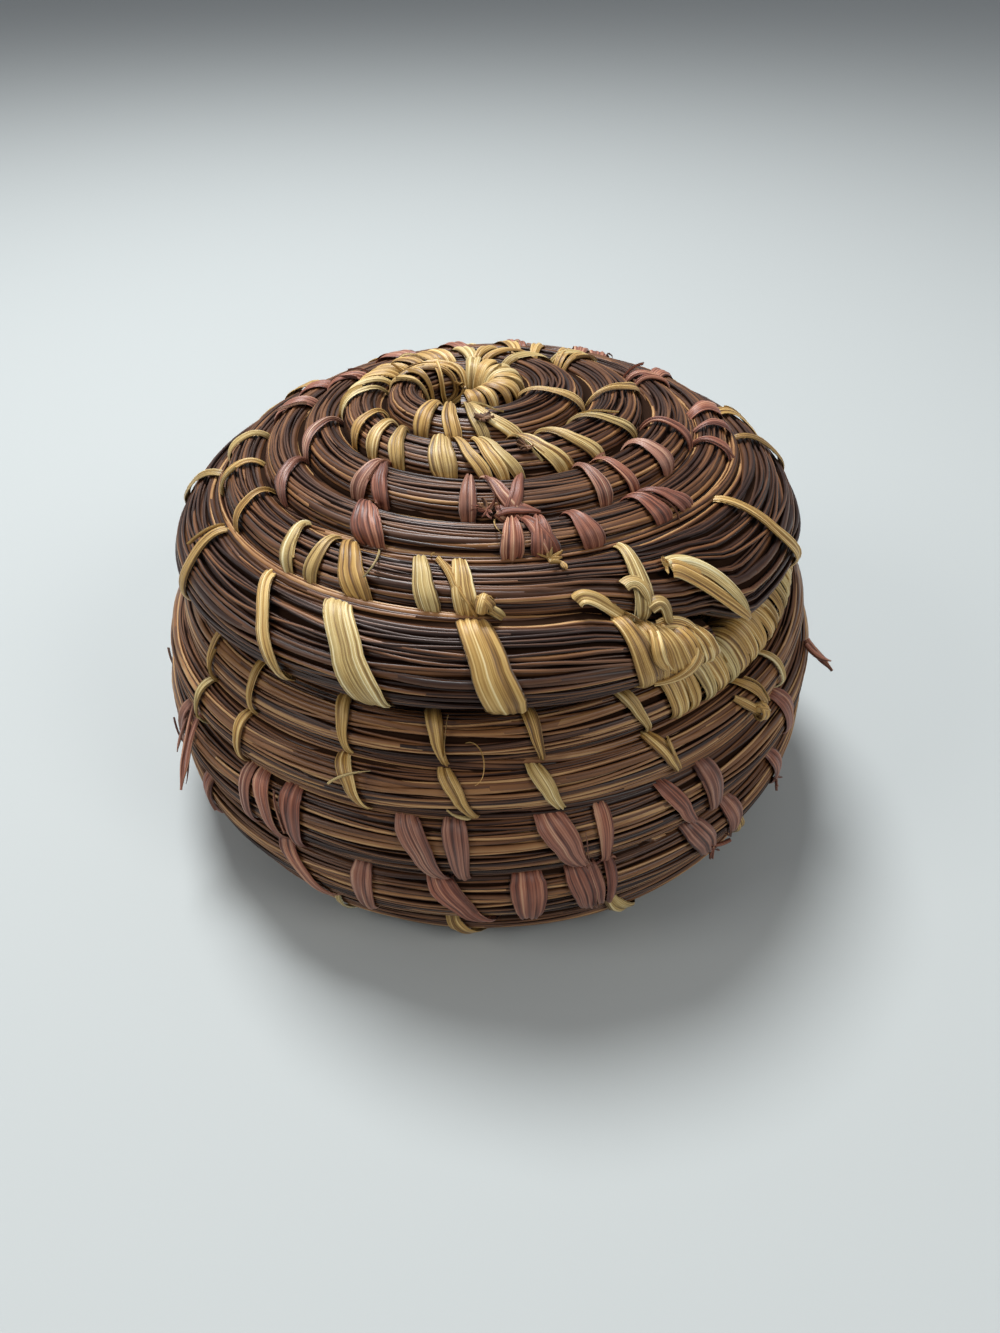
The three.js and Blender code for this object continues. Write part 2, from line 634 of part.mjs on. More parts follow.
// The origin lies under the middle of the overall size
const model = new THREE.Group();
model.add(basket, lid);
const middle = new THREE.Box3().setFromObject(model).getCenter(new THREE.Vector3());
model.position.set(-middle.x, -middle.y, 0);

export default model;
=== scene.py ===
# %% [markdown]
# This lesson dresses a small round basket with a loose lid. The real one is coiled from bundles of pine
# needles and sewn with strands of raffia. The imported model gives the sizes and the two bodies, basket and
# lid, so the script starts by loading it and by keeping the box that it fills.

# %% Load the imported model
import math

import bmesh
import bpy
import numpy as np
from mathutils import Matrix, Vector


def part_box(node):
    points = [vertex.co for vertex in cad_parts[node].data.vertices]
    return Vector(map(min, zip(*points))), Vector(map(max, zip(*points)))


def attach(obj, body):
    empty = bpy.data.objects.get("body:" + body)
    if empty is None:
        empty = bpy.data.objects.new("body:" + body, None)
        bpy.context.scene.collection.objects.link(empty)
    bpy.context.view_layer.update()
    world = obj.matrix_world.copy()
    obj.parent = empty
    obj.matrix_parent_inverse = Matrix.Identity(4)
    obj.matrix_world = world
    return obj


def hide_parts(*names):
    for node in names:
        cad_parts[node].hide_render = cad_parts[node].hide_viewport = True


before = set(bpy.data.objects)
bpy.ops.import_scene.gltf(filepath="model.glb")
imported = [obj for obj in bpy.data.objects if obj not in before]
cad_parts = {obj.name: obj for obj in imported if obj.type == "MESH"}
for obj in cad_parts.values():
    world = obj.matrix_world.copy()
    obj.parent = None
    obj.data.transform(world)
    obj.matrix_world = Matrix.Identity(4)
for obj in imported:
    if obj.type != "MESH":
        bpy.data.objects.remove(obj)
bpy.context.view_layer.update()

MM = 0.001
FULL_TURN = 2 * math.pi
FRONT = -FULL_TURN / 4

# %% [markdown]
# The photograph was taken with a phone close to the basket and well above it, so the camera stands near
# and looks down. Its lens and its height were found from the outlines of the basket and the lid. The
# camera comes first, so that every later step can be looked at from the same place.

# %% Camera
CAMERA_HEIGHT = 152.8 * MM
CAMERA_DISTANCE = 165.4 * MM
CAMERA_AIM_HEIGHT = 17.2 * MM
LENS_MM = 26.7
SENSOR_MM = 36
AXIS_SHIFT = 0.0086

camera_data = bpy.data.cameras.new("camera")
camera_data.lens = LENS_MM
camera_data.sensor_width = SENSOR_MM
camera_data.shift_x = AXIS_SHIFT
camera_data.clip_start = 0.01
camera = bpy.data.objects.new("camera", camera_data)
bpy.context.scene.collection.objects.link(camera)
camera.location = (0, -CAMERA_DISTANCE, CAMERA_HEIGHT)
look = Vector((0, 0, CAMERA_AIM_HEIGHT)) - camera.location
camera.rotation_euler = look.to_track_quat("-Z", "Y").to_euler()
bpy.context.scene.camera = camera
print("camera looks down by", round(math.degrees(math.asin(-look.z / look.length)), 1), "degrees")

# %% [markdown]
# The basket stands on a pale table in soft daylight from a window at the back left. A large plain floor
# and three broad lamps give the same soft shadow. The world adds an even pale light, so no side is black.

# %% Floor, lamps and world
FLOOR_HALF = 3.0
FLOOR_COLOUR = (0.41, 0.435, 0.43, 1)
WORLD_COLOUR = (0.9, 0.93, 1.0, 1)
WORLD_STRENGTH = 0.3
FLOOR_ROUGHNESS = 0.75
PLAIN_SPECULAR = 0.5


def plain_material(name, colour, roughness, specular=PLAIN_SPECULAR):
    material = bpy.data.materials.new(name)
    material.use_nodes = True
    shader = material.node_tree.nodes["Principled BSDF"]
    shader.inputs["Base Color"].default_value = colour
    shader.inputs["Roughness"].default_value = roughness
    shader.inputs["Specular IOR Level"].default_value = specular
    return material


floor_mesh = bpy.data.meshes.new("floor")
floor_corners = [(-FLOOR_HALF, -FLOOR_HALF, 0), (FLOOR_HALF, -FLOOR_HALF, 0),
                 (FLOOR_HALF, FLOOR_HALF, 0), (-FLOOR_HALF, FLOOR_HALF, 0)]
floor_mesh.from_pydata(floor_corners, [], [(0, 1, 2, 3)])
floor_mesh.materials.append(plain_material("pale_floor", FLOOR_COLOUR, FLOOR_ROUGHNESS))
floor = bpy.data.objects.new("floor", floor_mesh)
bpy.context.scene.collection.objects.link(floor)

world = bpy.data.worlds.new("room")
world.use_nodes = True
world.node_tree.nodes["Background"].inputs["Color"].default_value = WORLD_COLOUR
world.node_tree.nodes["Background"].inputs["Strength"].default_value = WORLD_STRENGTH
bpy.context.scene.world = world
bpy.context.scene.view_settings.view_transform = "Standard"


def area_lamp(name, place, size, power, colour):
    data = bpy.data.lights.new(name, "AREA")
    data.shape = "DISK"
    data.size = size
    data.energy = power
    data.color = colour
    lamp = bpy.data.objects.new(name, data)
    bpy.context.scene.collection.objects.link(lamp)
    lamp.location = place
    lamp.rotation_euler = (-Vector(place)).to_track_quat("-Z", "Y").to_euler()


DAYLIGHT = (0.96, 0.98, 1.0)
ROOM_LIGHT = (1.0, 0.97, 0.93)
area_lamp("window", place=(-0.15, 0.3, 0.8), size=0.3, power=9.5, colour=DAYLIGHT)
area_lamp("room_left", place=(-0.7, -0.3, 0.6), size=0.4, power=2.2, colour=ROOM_LIGHT)
area_lamp("room_right", place=(0.6, -0.5, 0.7), size=0.4, power=2.6, colour=ROOM_LIGHT)

# %% [markdown]
# A coiled basket is one long bundle of needles that spirals out from a centre hole, over the base and up
# the wall. Its side view is a profile curve: radius against height. The profiles are short chains of
# curves, sampled finely, so that a place on them is found from the distance already sewn.

# %% Profiles of the wall and the lid
FOOT_INNER_RADIUS = 40
FOOT_OUTER_RADIUS = 51
FOOT_HANDLES = (43, 47)
BASE_DISH = 1.8
BELLY_RADIUS = 60.5
BELLY_HEIGHT = 25
MOUTH_RADIUS = 49.5
MOUTH_HEIGHT = 53
FOOT_CUT = 0.5
FOOT_DROP = 2.2
LID_RADIUS = 55.5
LID_DOME_HEIGHT = 25.2
BUNDLE_THICKNESS = 8.4
SAME_PLACE = 1e-9


def curve_points(a, b, c, d, steps=200):
    t = np.linspace(0, 1, steps)[:, None]
    a, b, c, d = (np.array(p, float) for p in (a, b, c, d))
    return (1 - t) ** 3 * a + 3 * (1 - t) ** 2 * t * b + 3 * (1 - t) * t ** 2 * c + t ** 3 * d


def make_profile(curves):
    points = np.vstack([curve_points(*curve) for curve in curves])
    keep = np.r_[True, np.linalg.norm(np.diff(points, axis=0), axis=1) > SAME_PLACE]
    points = points[keep]
    length = np.r_[0, np.cumsum(np.linalg.norm(np.diff(points, axis=0), axis=1))]
    return {"length": length, "points": points, "slope": np.gradient(points, length, axis=0)}


foot_height = BUNDLE_THICKNESS / 2 - FOOT_CUT + FOOT_DROP
belly_rise = BELLY_HEIGHT - foot_height
mouth_rise = MOUTH_HEIGHT - BELLY_HEIGHT
mouth_handle = (MOUTH_RADIUS + (BELLY_RADIUS - MOUTH_RADIUS) * 0.6, MOUTH_HEIGHT - mouth_rise * 0.25)
wall_profile = make_profile([
    [(0, foot_height + BASE_DISH), (FOOT_INNER_RADIUS * 0.5, foot_height + BASE_DISH),
     (FOOT_INNER_RADIUS * 0.75, foot_height), (FOOT_INNER_RADIUS, foot_height)],
    [(radius, foot_height) for radius in (FOOT_INNER_RADIUS, *FOOT_HANDLES, FOOT_OUTER_RADIUS)],
    [(FOOT_OUTER_RADIUS, foot_height),
     (FOOT_OUTER_RADIUS + (BELLY_RADIUS - FOOT_OUTER_RADIUS) * 0.75, foot_height),
     (BELLY_RADIUS, BELLY_HEIGHT - belly_rise * 0.55), (BELLY_RADIUS, BELLY_HEIGHT)],
    [(BELLY_RADIUS, BELLY_HEIGHT), (BELLY_RADIUS, BELLY_HEIGHT + mouth_rise * 0.5),
     mouth_handle, (MOUTH_RADIUS, MOUTH_HEIGHT)],
])
lid_profile = make_profile([
    [(0, LID_DOME_HEIGHT), (LID_RADIUS * 0.6, LID_DOME_HEIGHT),
     (LID_RADIUS, LID_DOME_HEIGHT * 0.42), (LID_RADIUS, 0)],
])
print("profile lengths, mm:", round(wall_profile["length"][-1], 1), round(lid_profile["length"][-1], 1))

# %% [markdown]
# Along the profile the bundle makes one course for each turn, and the courses are not equally wide: the
# thick ones lie at the belly and at the lid's rim. The coil function walks round the spiral and returns,
# for each step, where the bundle's middle is, which way the next course and the outside lie, and how wide
# and thick the bundle is there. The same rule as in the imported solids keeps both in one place.

# %% The coil rule
BASKET_COURSES = [4, 8.5, 8.5, 8.5, 8.5, 9.5, 10.5, 12.5, 12.5, 8, 8, 7]
LID_COURSES = [4.5, 10, 9, 8.5, 7, 9, 12.5, 12]
BASKET_TURNS = 10.36
LID_TURNS = 6.105
HOLE_RADIUS = 3
FOOT_FALL = (4.7, 5)
FOOT_RISE = (5.7, 6)
WALL_LEAN = 3
WALL_LEAN_AZIMUTH = math.radians(35)
LID_LEAN = 2.5
LID_LEAN_AZIMUTH = math.radians(-43)
END_TAPER_LENGTH = 22
END_TAPER_SHARE = 0.45
WALL_RIM = dict(rise=0, levelling=0.35, levelling_length=END_TAPER_LENGTH, end_share=END_TAPER_SHARE)
LID_RIM = dict(rise=0.42, levelling=0.38, levelling_length=10, end_share=0.8)
RING_RIM = dict(rise=0, levelling=0, levelling_length=END_TAPER_LENGTH, end_share=END_TAPER_SHARE)
HOLE_DRIFT = (-4.8, 0.7, 0)
HOLE_DRIFT_REACH = 36
PACKED_COURSE_GAP = 2.4
PACKED_STEP = 3
PACKED_SHOULDER = 0.6
TOUCHING_GAP = 0.05
THICKEST_SHARE = 1.5
LEAST_STEP_RADIUS = 6


def smooth_step(value, low, high):
    t = np.clip((value - low) / (high - low), 0, 1)
    return t * t * (3 - 2 * t)


def foot_drop(turn):
    return FOOT_DROP * (smooth_step(turn, *FOOT_FALL) - smooth_step(turn, *FOOT_RISE))


def wall_lift(turn, radius, height, azimuth):
    lean = WALL_LEAN * np.cos(azimuth - WALL_LEAN_AZIMUTH) * radius / BELLY_RADIUS * height / MOUTH_HEIGHT
    return lean - foot_drop(turn)


def lid_lift(turn, radius, height, azimuth):
    return LID_LEAN * np.cos(azimuth - LID_LEAN_AZIMUTH) * radius / BELLY_RADIUS


BASKET_RULE = dict(profile=wall_profile, courses=BASKET_COURSES, hole=HOLE_RADIUS, turns=BASKET_TURNS,
                   thickness=BUNDLE_THICKNESS, outer_side=-1, lift=wall_lift, rim=WALL_RIM)
LID_RULE = dict(profile=lid_profile, courses=LID_COURSES, hole=HOLE_RADIUS, turns=LID_TURNS,
                thickness=BUNDLE_THICKNESS, outer_side=1, lift=lid_lift, rim=LID_RIM,
                drift=HOLE_DRIFT)


def drift_at(rule, distance):
    profile = rule["profile"]
    radius = np.interp(distance, profile["length"], profile["points"][:, 0])
    share = 1 - smooth_step(radius, 0, HOLE_DRIFT_REACH)
    return share[:, None] * np.array(rule.get("drift", (0, 0, 0)), float)


def coil_at(rule, turn, gap=TOUCHING_GAP):
    turn = np.atleast_1d(np.asarray(turn, float))
    profile, turns = rule["profile"], rule["turns"]
    edges = np.r_[0, np.cumsum(rule["courses"])]
    total = profile["length"][-1]
    rim = rule["rim"]

    def sewn_to(edge_turn):
        return np.interp(edge_turn, np.arange(len(edges)), edges)

    scale = (total - rule["hole"]) / sewn_to(turns + 1)

    def edge_at(edge_turn):
        edge = rule["hole"] + sewn_to(edge_turn) * scale
        past_end = (edge_turn - turns) * FULL_TURN * profile["points"][-1, 0]
        rise = (rim["rise"] * smooth_step(past_end, -END_TAPER_LENGTH, 0)
                + rim["levelling"] * smooth_step(past_end, 0, rim["levelling_length"]))
        return edge + (total - edge) * rise

    inner, outer = edge_at(turn), edge_at(turn + 1)
    at = np.clip((inner + outer) / 2, 0, total)
    radius, height = (np.interp(at, profile["length"], profile["points"][:, i]) for i in (0, 1))
    slope_out, slope_up = (np.interp(at, profile["length"], profile["slope"][:, i]) for i in (0, 1))
    azimuth = FRONT + turn * FULL_TURN
    outward = np.stack([np.cos(azimuth), np.sin(azimuth), 0 * azimuth], axis=1)
    up = np.array([0, 0, 1.0])
    raised = height + rule["lift"](turn, radius, height, azimuth)
    centre = outward * radius[:, None] + up * raised[:, None]
    along = outward * slope_out[:, None] + up * slope_up[:, None]
    side = rule["outer_side"]
    across = outward * (-side * slope_up)[:, None] + up * (side * slope_out)[:, None]
    inner_drift, outer_drift = drift_at(rule, inner), drift_at(rule, outer)
    centre = centre + (inner_drift + outer_drift) / 2
    widening = np.sum((outer_drift - inner_drift) * outward, axis=1)
    half_width = (outer - inner + widening - gap) / 2
    half_thickness = np.minimum(rule["thickness"] / 2, half_width * THICKEST_SHARE)
    to_end = (turns - turn) * FULL_TURN * radius
    if rule.get("taper_start"):
        to_end = np.minimum(to_end, turn * FULL_TURN * radius)
    size = rim["end_share"] + (1 - rim["end_share"]) * smooth_step(to_end, 0, END_TAPER_LENGTH)
    return dict(radius=radius, centre=centre, along=along, across=across,
                half_width=half_width * size, half_thickness=half_thickness * size)


def turn_steps(rule, start, end, step):
    turns = [start]
    while turns[-1] < end:
        radius = float(coil_at(rule, turns[-1])["radius"][0])
        turns.append(min(turns[-1] + step / (FULL_TURN * max(radius, LEAST_STEP_RADIUS)), end))
    return np.array(turns)


def solid_corners(rule):
    coil = coil_at(rule, turn_steps(rule, 0, rule["turns"], PACKED_STEP), PACKED_COURSE_GAP)
    corners = []
    for x, y in ((1, 0), (PACKED_SHOULDER, 1), (-PACKED_SHOULDER, 1),
                 (-1, 0), (-PACKED_SHOULDER, -1), (PACKED_SHOULDER, -1)):
        corners.append(coil["centre"] + coil["along"] * (x * coil["half_width"])[:, None]
                       + coil["across"] * (y * coil["half_thickness"])[:, None])
    return np.vstack(corners)


def place_in_frame(rule, node):
    low, high = (np.array(corner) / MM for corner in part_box(node))
    corners = solid_corners(rule)
    shift = (low + high) / 2 - (corners.min(axis=0) + corners.max(axis=0)) / 2
    shift[2] = high[2] - corners[:, 2].max()
    return shift


BASKET_RULE["shift"] = place_in_frame(BASKET_RULE, "basket_coil")
LID_RULE["shift"] = place_in_frame(LID_RULE, "lid_coil")
print("the coils move by, mm:", BASKET_RULE["shift"].round(2), LID_RULE["shift"].round(2))

# %% [markdown]
# The locating ring is sewn up under the lid and keeps it centred in the mouth. It isn't seen until the
# lid is lifted. It is a short coil of the same needles that winds straight down.

# %% The ring's rule
RING_COURSE = 5.2
RING_TURNS = 1.5
RING_THICKNESS = 4.6
RING_DEPTHS = (0, -4, -9, -13)
ring_low, ring_high = (np.array(corner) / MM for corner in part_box("lid_locating_ring"))
RING_RADIUS = float((ring_high[0] - ring_low[0]) / 2 - RING_THICKNESS / 2)
ring_profile = make_profile([[(RING_RADIUS, depth) for depth in RING_DEPTHS]])
RING_RULE = dict(profile=ring_profile, courses=[RING_COURSE] * 3, hole=0, turns=RING_TURNS,
                 thickness=RING_THICKNESS, outer_side=1, lift=lid_lift, rim=RING_RIM, taper_start=True)
RING_RULE["shift"] = place_in_frame(RING_RULE, "lid_locating_ring")
print("ring radius, mm:", round(RING_RADIUS, 1), "moves by", RING_RULE["shift"].round(2))

# %% [markdown]
# Geometry Nodes make what repeats: here hundreds of needles that follow one path. A small helper adds a
# node, sets its properties and feeds its inputs, so that the trees below read as lists of steps.

# %% A helper for node trees
def new_tree(name, sockets):
    tree = bpy.data.node_groups.new(name, "GeometryNodeTree")
    tree.interface.new_socket(name="Geometry", in_out="INPUT", socket_type="NodeSocketGeometry")
    tree.interface.new_socket(name="Geometry", in_out="OUTPUT", socket_type="NodeSocketGeometry")
    for socket_name, kind in sockets:
        tree.interface.new_socket(name=socket_name, in_out="INPUT", socket_type=kind)
    return tree


def add_node(tree, kind, inputs=None, **settings):
    node = tree.nodes.new(kind)
    for key, value in settings.items():
        setattr(node, key, value)
    for key, value in (inputs or {}).items():
        socket = node.inputs[key]
        if isinstance(value, bpy.types.NodeSocket):
            tree.links.new(value, socket)
        else:
            socket.default_value = value
    return node


def maths(tree, operation, *values):
    node = add_node(tree, "ShaderNodeMath", dict(enumerate(values)), operation=operation)
    return node.outputs[0]


def vector_maths(tree, operation, *vectors):
    node = add_node(tree, "ShaderNodeVectorMath", operation=operation)
    for socket, vector in zip(node.inputs, vectors):
        tree.links.new(vector, socket)
    return node.outputs["Value" if operation == "DOT_PRODUCT" else "Vector"]


def scaled(tree, vector, amount):
    node = add_node(tree, "ShaderNodeVectorMath", {0: vector, "Scale": amount}, operation="SCALE")
    return node.outputs["Vector"]


def added(tree, *vectors):
    total = vectors[0]
    for vector in vectors[1:]:
        total = vector_maths(tree, "ADD", total, vector)
    return total


def attribute(tree, name, kind="FLOAT"):
    node = add_node(tree, "GeometryNodeInputNamedAttribute", {"Name": name}, data_type=kind)
    return node.outputs["Attribute"]


def random_value(tree, low, high, item, seed):
    node = add_node(tree, "FunctionNodeRandomValue", data_type="FLOAT")
    float_inputs = [s for s in node.inputs if s.enabled]
    for socket, value in zip(float_inputs, (low, high, item, seed)):
        if isinstance(value, bpy.types.NodeSocket):
            tree.links.new(value, socket)
        else:
            socket.default_value = value
    return [s for s in node.outputs if s.enabled][0]


def wave(tree, place):
    node = add_node(tree, "ShaderNodeTexNoise", {"W": place, "Scale": 1.0, "Detail": 1.0},
                    noise_dimensions="1D")
    return node.outputs[0]


def store(tree, geometry, name, value, kind="FLOAT", domain="POINT"):
    node = add_node(tree, "GeometryNodeStoreNamedAttribute",
                    {"Geometry": geometry, "Name": name, "Value": value}, data_type=kind, domain=domain)
    return node.outputs["Geometry"]


# %% [markdown]
# One tree lays the needles. It copies the bundle's path once for each needle and pushes each copy out to
# its own place round the bundle's section, with slow random wandering, so that needles cross a little and
# dive under one another. Each needle has its own thickness, and thins to a point where it ends and the
# next one begins. For the material the tree stores a tone for each needle, and how far each face looks
# out of the bundle.

# %% The needle tree
NEEDLE_JITTER = 0.3
OWN_RANGE = 900.0
WANDER_WAVES = 22.0
DIVE_WAVES = 31.0
DIVE_OFFSET = 50.0
DIVE_POWER = 2.0
THIN_SHARE = 0.6
THICK_EXTRA = 0.85
THICK_POWER = 1.8
POINT_LENGTH = 0.007
POINT_POWER = 0.6
POINT_LEAST = 0.15
SECTION_POWER = 0.85


def needle_tree():
    tree = new_tree("needle_bundle", [
        ("Needle Count", "NodeSocketInt"), ("Needle Radius", "NodeSocketFloat"),
        ("Layer Share", "NodeSocketFloat"), ("Wander", "NodeSocketFloat"), ("Dive", "NodeSocketFloat"),
        ("Needle Length", "NodeSocketFloat"),
        ("Sides", "NodeSocketInt"), ("Seed", "NodeSocketInt"), ("Material", "NodeSocketMaterial")])
    source = tree.nodes.new("NodeGroupInput").outputs
    path = add_node(tree, "GeometryNodeMeshToCurve", {"Mesh": source["Geometry"]}).outputs["Curve"]
    copies = add_node(tree, "GeometryNodeDuplicateElements",
                      {"Geometry": path, "Amount": source["Needle Count"]}, domain="SPLINE")
    item = copies.outputs["Duplicate Index"]
    seed = source["Seed"]
    travelled = attribute(tree, "travelled")

    jitter = random_value(tree, -NEEDLE_JITTER, NEEDLE_JITTER, item, seed)
    share = maths(tree, "DIVIDE", maths(tree, "ADD", item, jitter), source["Needle Count"])
    own = random_value(tree, 0.0, OWN_RANGE, item, maths(tree, "ADD", seed, 1.0))
    slow = wave(tree, maths(tree, "MULTIPLY_ADD", travelled, WANDER_WAVES, own))
    drift = maths(tree, "MULTIPLY", maths(tree, "SUBTRACT", slow, 0.5), source["Wander"])
    angle = maths(tree, "MULTIPLY_ADD", share, FULL_TURN, drift)
    beyond_own = maths(tree, "ADD", own, DIVE_OFFSET)
    deep = wave(tree, maths(tree, "MULTIPLY_ADD", travelled, DIVE_WAVES, beyond_own))
    depth = maths(tree, "MULTIPLY", maths(tree, "POWER", deep, DIVE_POWER), source["Dive"])
    reach = maths(tree, "MULTIPLY", maths(tree, "SUBTRACT", 1.0, depth), source["Layer Share"])

    thick = random_value(tree, 0.0, 1.0, item, maths(tree, "ADD", seed, 2.0))
    thick = maths(tree, "MULTIPLY_ADD", maths(tree, "POWER", thick, THICK_POWER), THICK_EXTRA, THIN_SHARE)
    radius = maths(tree, "MULTIPLY", thick, source["Needle Radius"])
    start = random_value(tree, 0.0, 1.0, item, maths(tree, "ADD", seed, 3.0))
    lengths = maths(tree, "DIVIDE", travelled, source["Needle Length"])
    phase = maths(tree, "FRACT", maths(tree, "ADD", lengths, start))
    from_end = maths(tree, "MULTIPLY", maths(tree, "MINIMUM", phase, maths(tree, "SUBTRACT", 1.0, phase)),
                     source["Needle Length"])
    grown = maths(tree, "MINIMUM", maths(tree, "DIVIDE", from_end, POINT_LENGTH), 1.0)
    point = maths(tree, "MAXIMUM", maths(tree, "POWER", grown, POINT_POWER), POINT_LEAST)

    def side_share(function):
        value = maths(tree, function, angle)
        size = maths(tree, "POWER", maths(tree, "ABSOLUTE", value), SECTION_POWER)
        return maths(tree, "MULTIPLY", maths(tree, "SIGN", value), size)

    def offset(half_size, function):
        inset = maths(tree, "MULTIPLY", radius, -1.0)
        room = maths(tree, "MULTIPLY_ADD", attribute(tree, half_size), reach, inset)
        return maths(tree, "MULTIPLY", room, side_share(function))

    middle = add_node(tree, "GeometryNodeInputPosition").outputs[0]
    sideways = scaled(tree, attribute(tree, "along", "FLOAT_VECTOR"), offset("half_width", "COSINE"))
    outward = scaled(tree, attribute(tree, "across", "FLOAT_VECTOR"), offset("half_thickness", "SINE"))
    place = added(tree, middle, sideways, outward)
    needles = store(tree, copies.outputs["Geometry"], "bundle_middle", middle, "FLOAT_VECTOR")
    needles = add_node(tree, "GeometryNodeSetPosition",
                       {"Geometry": needles, "Position": place}).outputs["Geometry"]
    tone = random_value(tree, 0.0, 1.0, item, maths(tree, "ADD", seed, 4.0))
    needles = store(tree, needles, "needle_tone", tone)
    needles = store(tree, needles, "needle_own", own)
    pointed = maths(tree, "MULTIPLY", radius, point)
    needles = add_node(tree, "GeometryNodeSetCurveRadius",
                       {"Curve": needles, "Radius": pointed}).outputs["Curve"]
    circle = add_node(tree, "GeometryNodeCurvePrimitiveCircle",
                      {"Resolution": source["Sides"], "Radius": 1.0})
    swept = add_node(tree, "GeometryNodeCurveToMesh",
                     {"Curve": needles, "Profile Curve": circle.outputs["Curve"], "Fill Caps": True})
    if "Scale" in swept.inputs:
        tree.links.new(add_node(tree, "GeometryNodeInputRadius").outputs[0], swept.inputs["Scale"])
    whole = add_node(tree, "GeometryNodeRealizeInstances", {"Geometry": swept.outputs["Mesh"]})
    from_middle = vector_maths(tree, "SUBTRACT", add_node(tree, "GeometryNodeInputPosition").outputs[0],
                               attribute(tree, "bundle_middle", "FLOAT_VECTOR"))
    facing = vector_maths(tree, "DOT_PRODUCT", vector_maths(tree, "NORMALIZE", from_middle),
                          add_node(tree, "GeometryNodeInputNormal").outputs[0])
    whole = store(tree, whole.outputs["Geometry"], "facing_out", facing)
    dressed = add_node(tree, "GeometryNodeSetMaterial",
                       {"Geometry": whole, "Material": source["Material"]})
    sink = tree.nodes.new("NodeGroupOutput")
    tree.links.new(dressed.outputs["Geometry"], sink.inputs["Geometry"])
    return tree


NEEDLE_TREE = needle_tree()
print("needle tree nodes:", len(NEEDLE_TREE.nodes))

# %% [markdown]
# The tree needs a path with its directions written on every point. This helper makes that path, runs the
# tree on it, turns the result into a plain mesh and takes the modifier off again, so that the finished
# piece is an ordinary mesh with smooth outward faces.

# %% From a path to a finished piece
def path_object(name, strips):
    vertices, edges = [], []
    fields = {key: [] for key in strips[0] if key != "points"}
    for strip in strips:
        first = len(vertices)
        vertices.extend(strip["points"] * MM)
        edges.extend((first + i, first + i + 1) for i in range(len(strip["points"]) - 1))
        for key in fields:
            fields[key].extend(np.asarray(strip[key], float))
    mesh = bpy.data.meshes.new(name)
    mesh.from_pydata([tuple(v) for v in vertices], edges, [])
    for key, values in fields.items():
        values = np.array(values)
        kind, field = ("FLOAT_VECTOR", "vector") if values.ndim == 2 else ("FLOAT", "value")
        layer = mesh.attributes.new(key, kind, "POINT")
        layer.data.foreach_set(field, values.astype(np.float32).ravel())
    piece = bpy.data.objects.new(name, mesh)
    bpy.context.scene.collection.objects.link(piece)
    return piece


def face_outwards(mesh):
    shell = bmesh.new()
    shell.from_mesh(mesh)
    bmesh.ops.recalc_face_normals(shell, faces=shell.faces)
    shell.to_mesh(mesh)
    shell.free()
    mesh.shade_smooth()


def grow(piece, tree, settings):
    modifier = piece.modifiers.new(tree.name, "NODES")
    modifier.node_group = tree
    for item in tree.interface.items_tree:
        if item.in_out == "INPUT" and item.name in settings:
            modifier[item.identifier] = settings[item.name]
    seen_now = bpy.context.evaluated_depsgraph_get()
    grown = bpy.data.meshes.new_from_object(piece.evaluated_get(seen_now), preserve_all_data_layers=True,
                                            depsgraph=seen_now)
    piece.modifiers.clear()
    piece.data = grown
    face_outwards(grown)


# %% [markdown]
# The basket's foot is pressed flat where it stands, so nothing reaches below the table. Then each piece
# is told which body it rides on and which nodes of the imported model it replaces.

# %% Finishing a piece
FLOOR_CLEARANCE = 0.05
LENGTH_SAMPLES = 3000


def press_flat(piece):
    places = np.empty(3 * len(piece.data.vertices), np.float32)
    piece.data.vertices.foreach_get("co", places)
    places[2::3] = np.maximum(places[2::3], FLOOR_CLEARANCE * MM)
    piece.data.vertices.foreach_set("co", places)
    piece.data.update()


def finish_piece(piece, body, nodes):
    press_flat(piece)
    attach(piece, body)
    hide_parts(*nodes)
    triangles = sum(len(p.vertices) - 2 for p in piece.data.polygons)
    print(f"{piece.name}: {triangles} triangles")


def travelled_to(rule, turns):
    fine = np.linspace(0, rule["turns"], LENGTH_SAMPLES)
    points = coil_at(rule, fine)["centre"]
    length = np.r_[0, np.cumsum(np.linalg.norm(np.diff(points, axis=0), axis=1))]
    return np.interp(turns, fine, length)


def bundle_strip(rule, start, end, step):
    turns = turn_steps(rule, start, end, step)
    coil = coil_at(rule, turns)
    return dict(points=coil["centre"] + rule["shift"], along=coil["along"], across=coil["across"],
                travelled=travelled_to(rule, turns) * MM, half_width=coil["half_width"] * MM,
                half_thickness=coil["half_thickness"] * MM)


# %% [markdown]
# Dried pine needles are glossy and run from straw gold to dark brown. The material reads the tone that
# the tree stored, so each needle has its own colour, with lighter and darker lengths along it. Faces that
# look into the bundle are darkened, because little light gets there. Clear light glints on the needles'
# round backs, so the roughness is fairly low and varies along the needle.

# %% Needle material
def shader_material(name):
    material = bpy.data.materials.new(name)
    material.use_nodes = True
    tree = material.node_tree
    return material, tree, tree.nodes["Principled BSDF"]


def colour_ramp(tree, factor, stops):
    ramp = tree.nodes.new("ShaderNodeValToRGB")
    tree.links.new(factor, ramp.inputs["Fac"])
    elements = ramp.color_ramp.elements
    while len(elements) < len(stops):
        elements.new(0.5)
    for element, (place, colour) in zip(elements, stops):
        element.position = place
        element.color = (*colour, 1)
    return ramp.outputs["Color"]


def shader_attribute(tree, name):
    node = tree.nodes.new("ShaderNodeAttribute")
    node.attribute_name = name
    return node.outputs["Fac"]


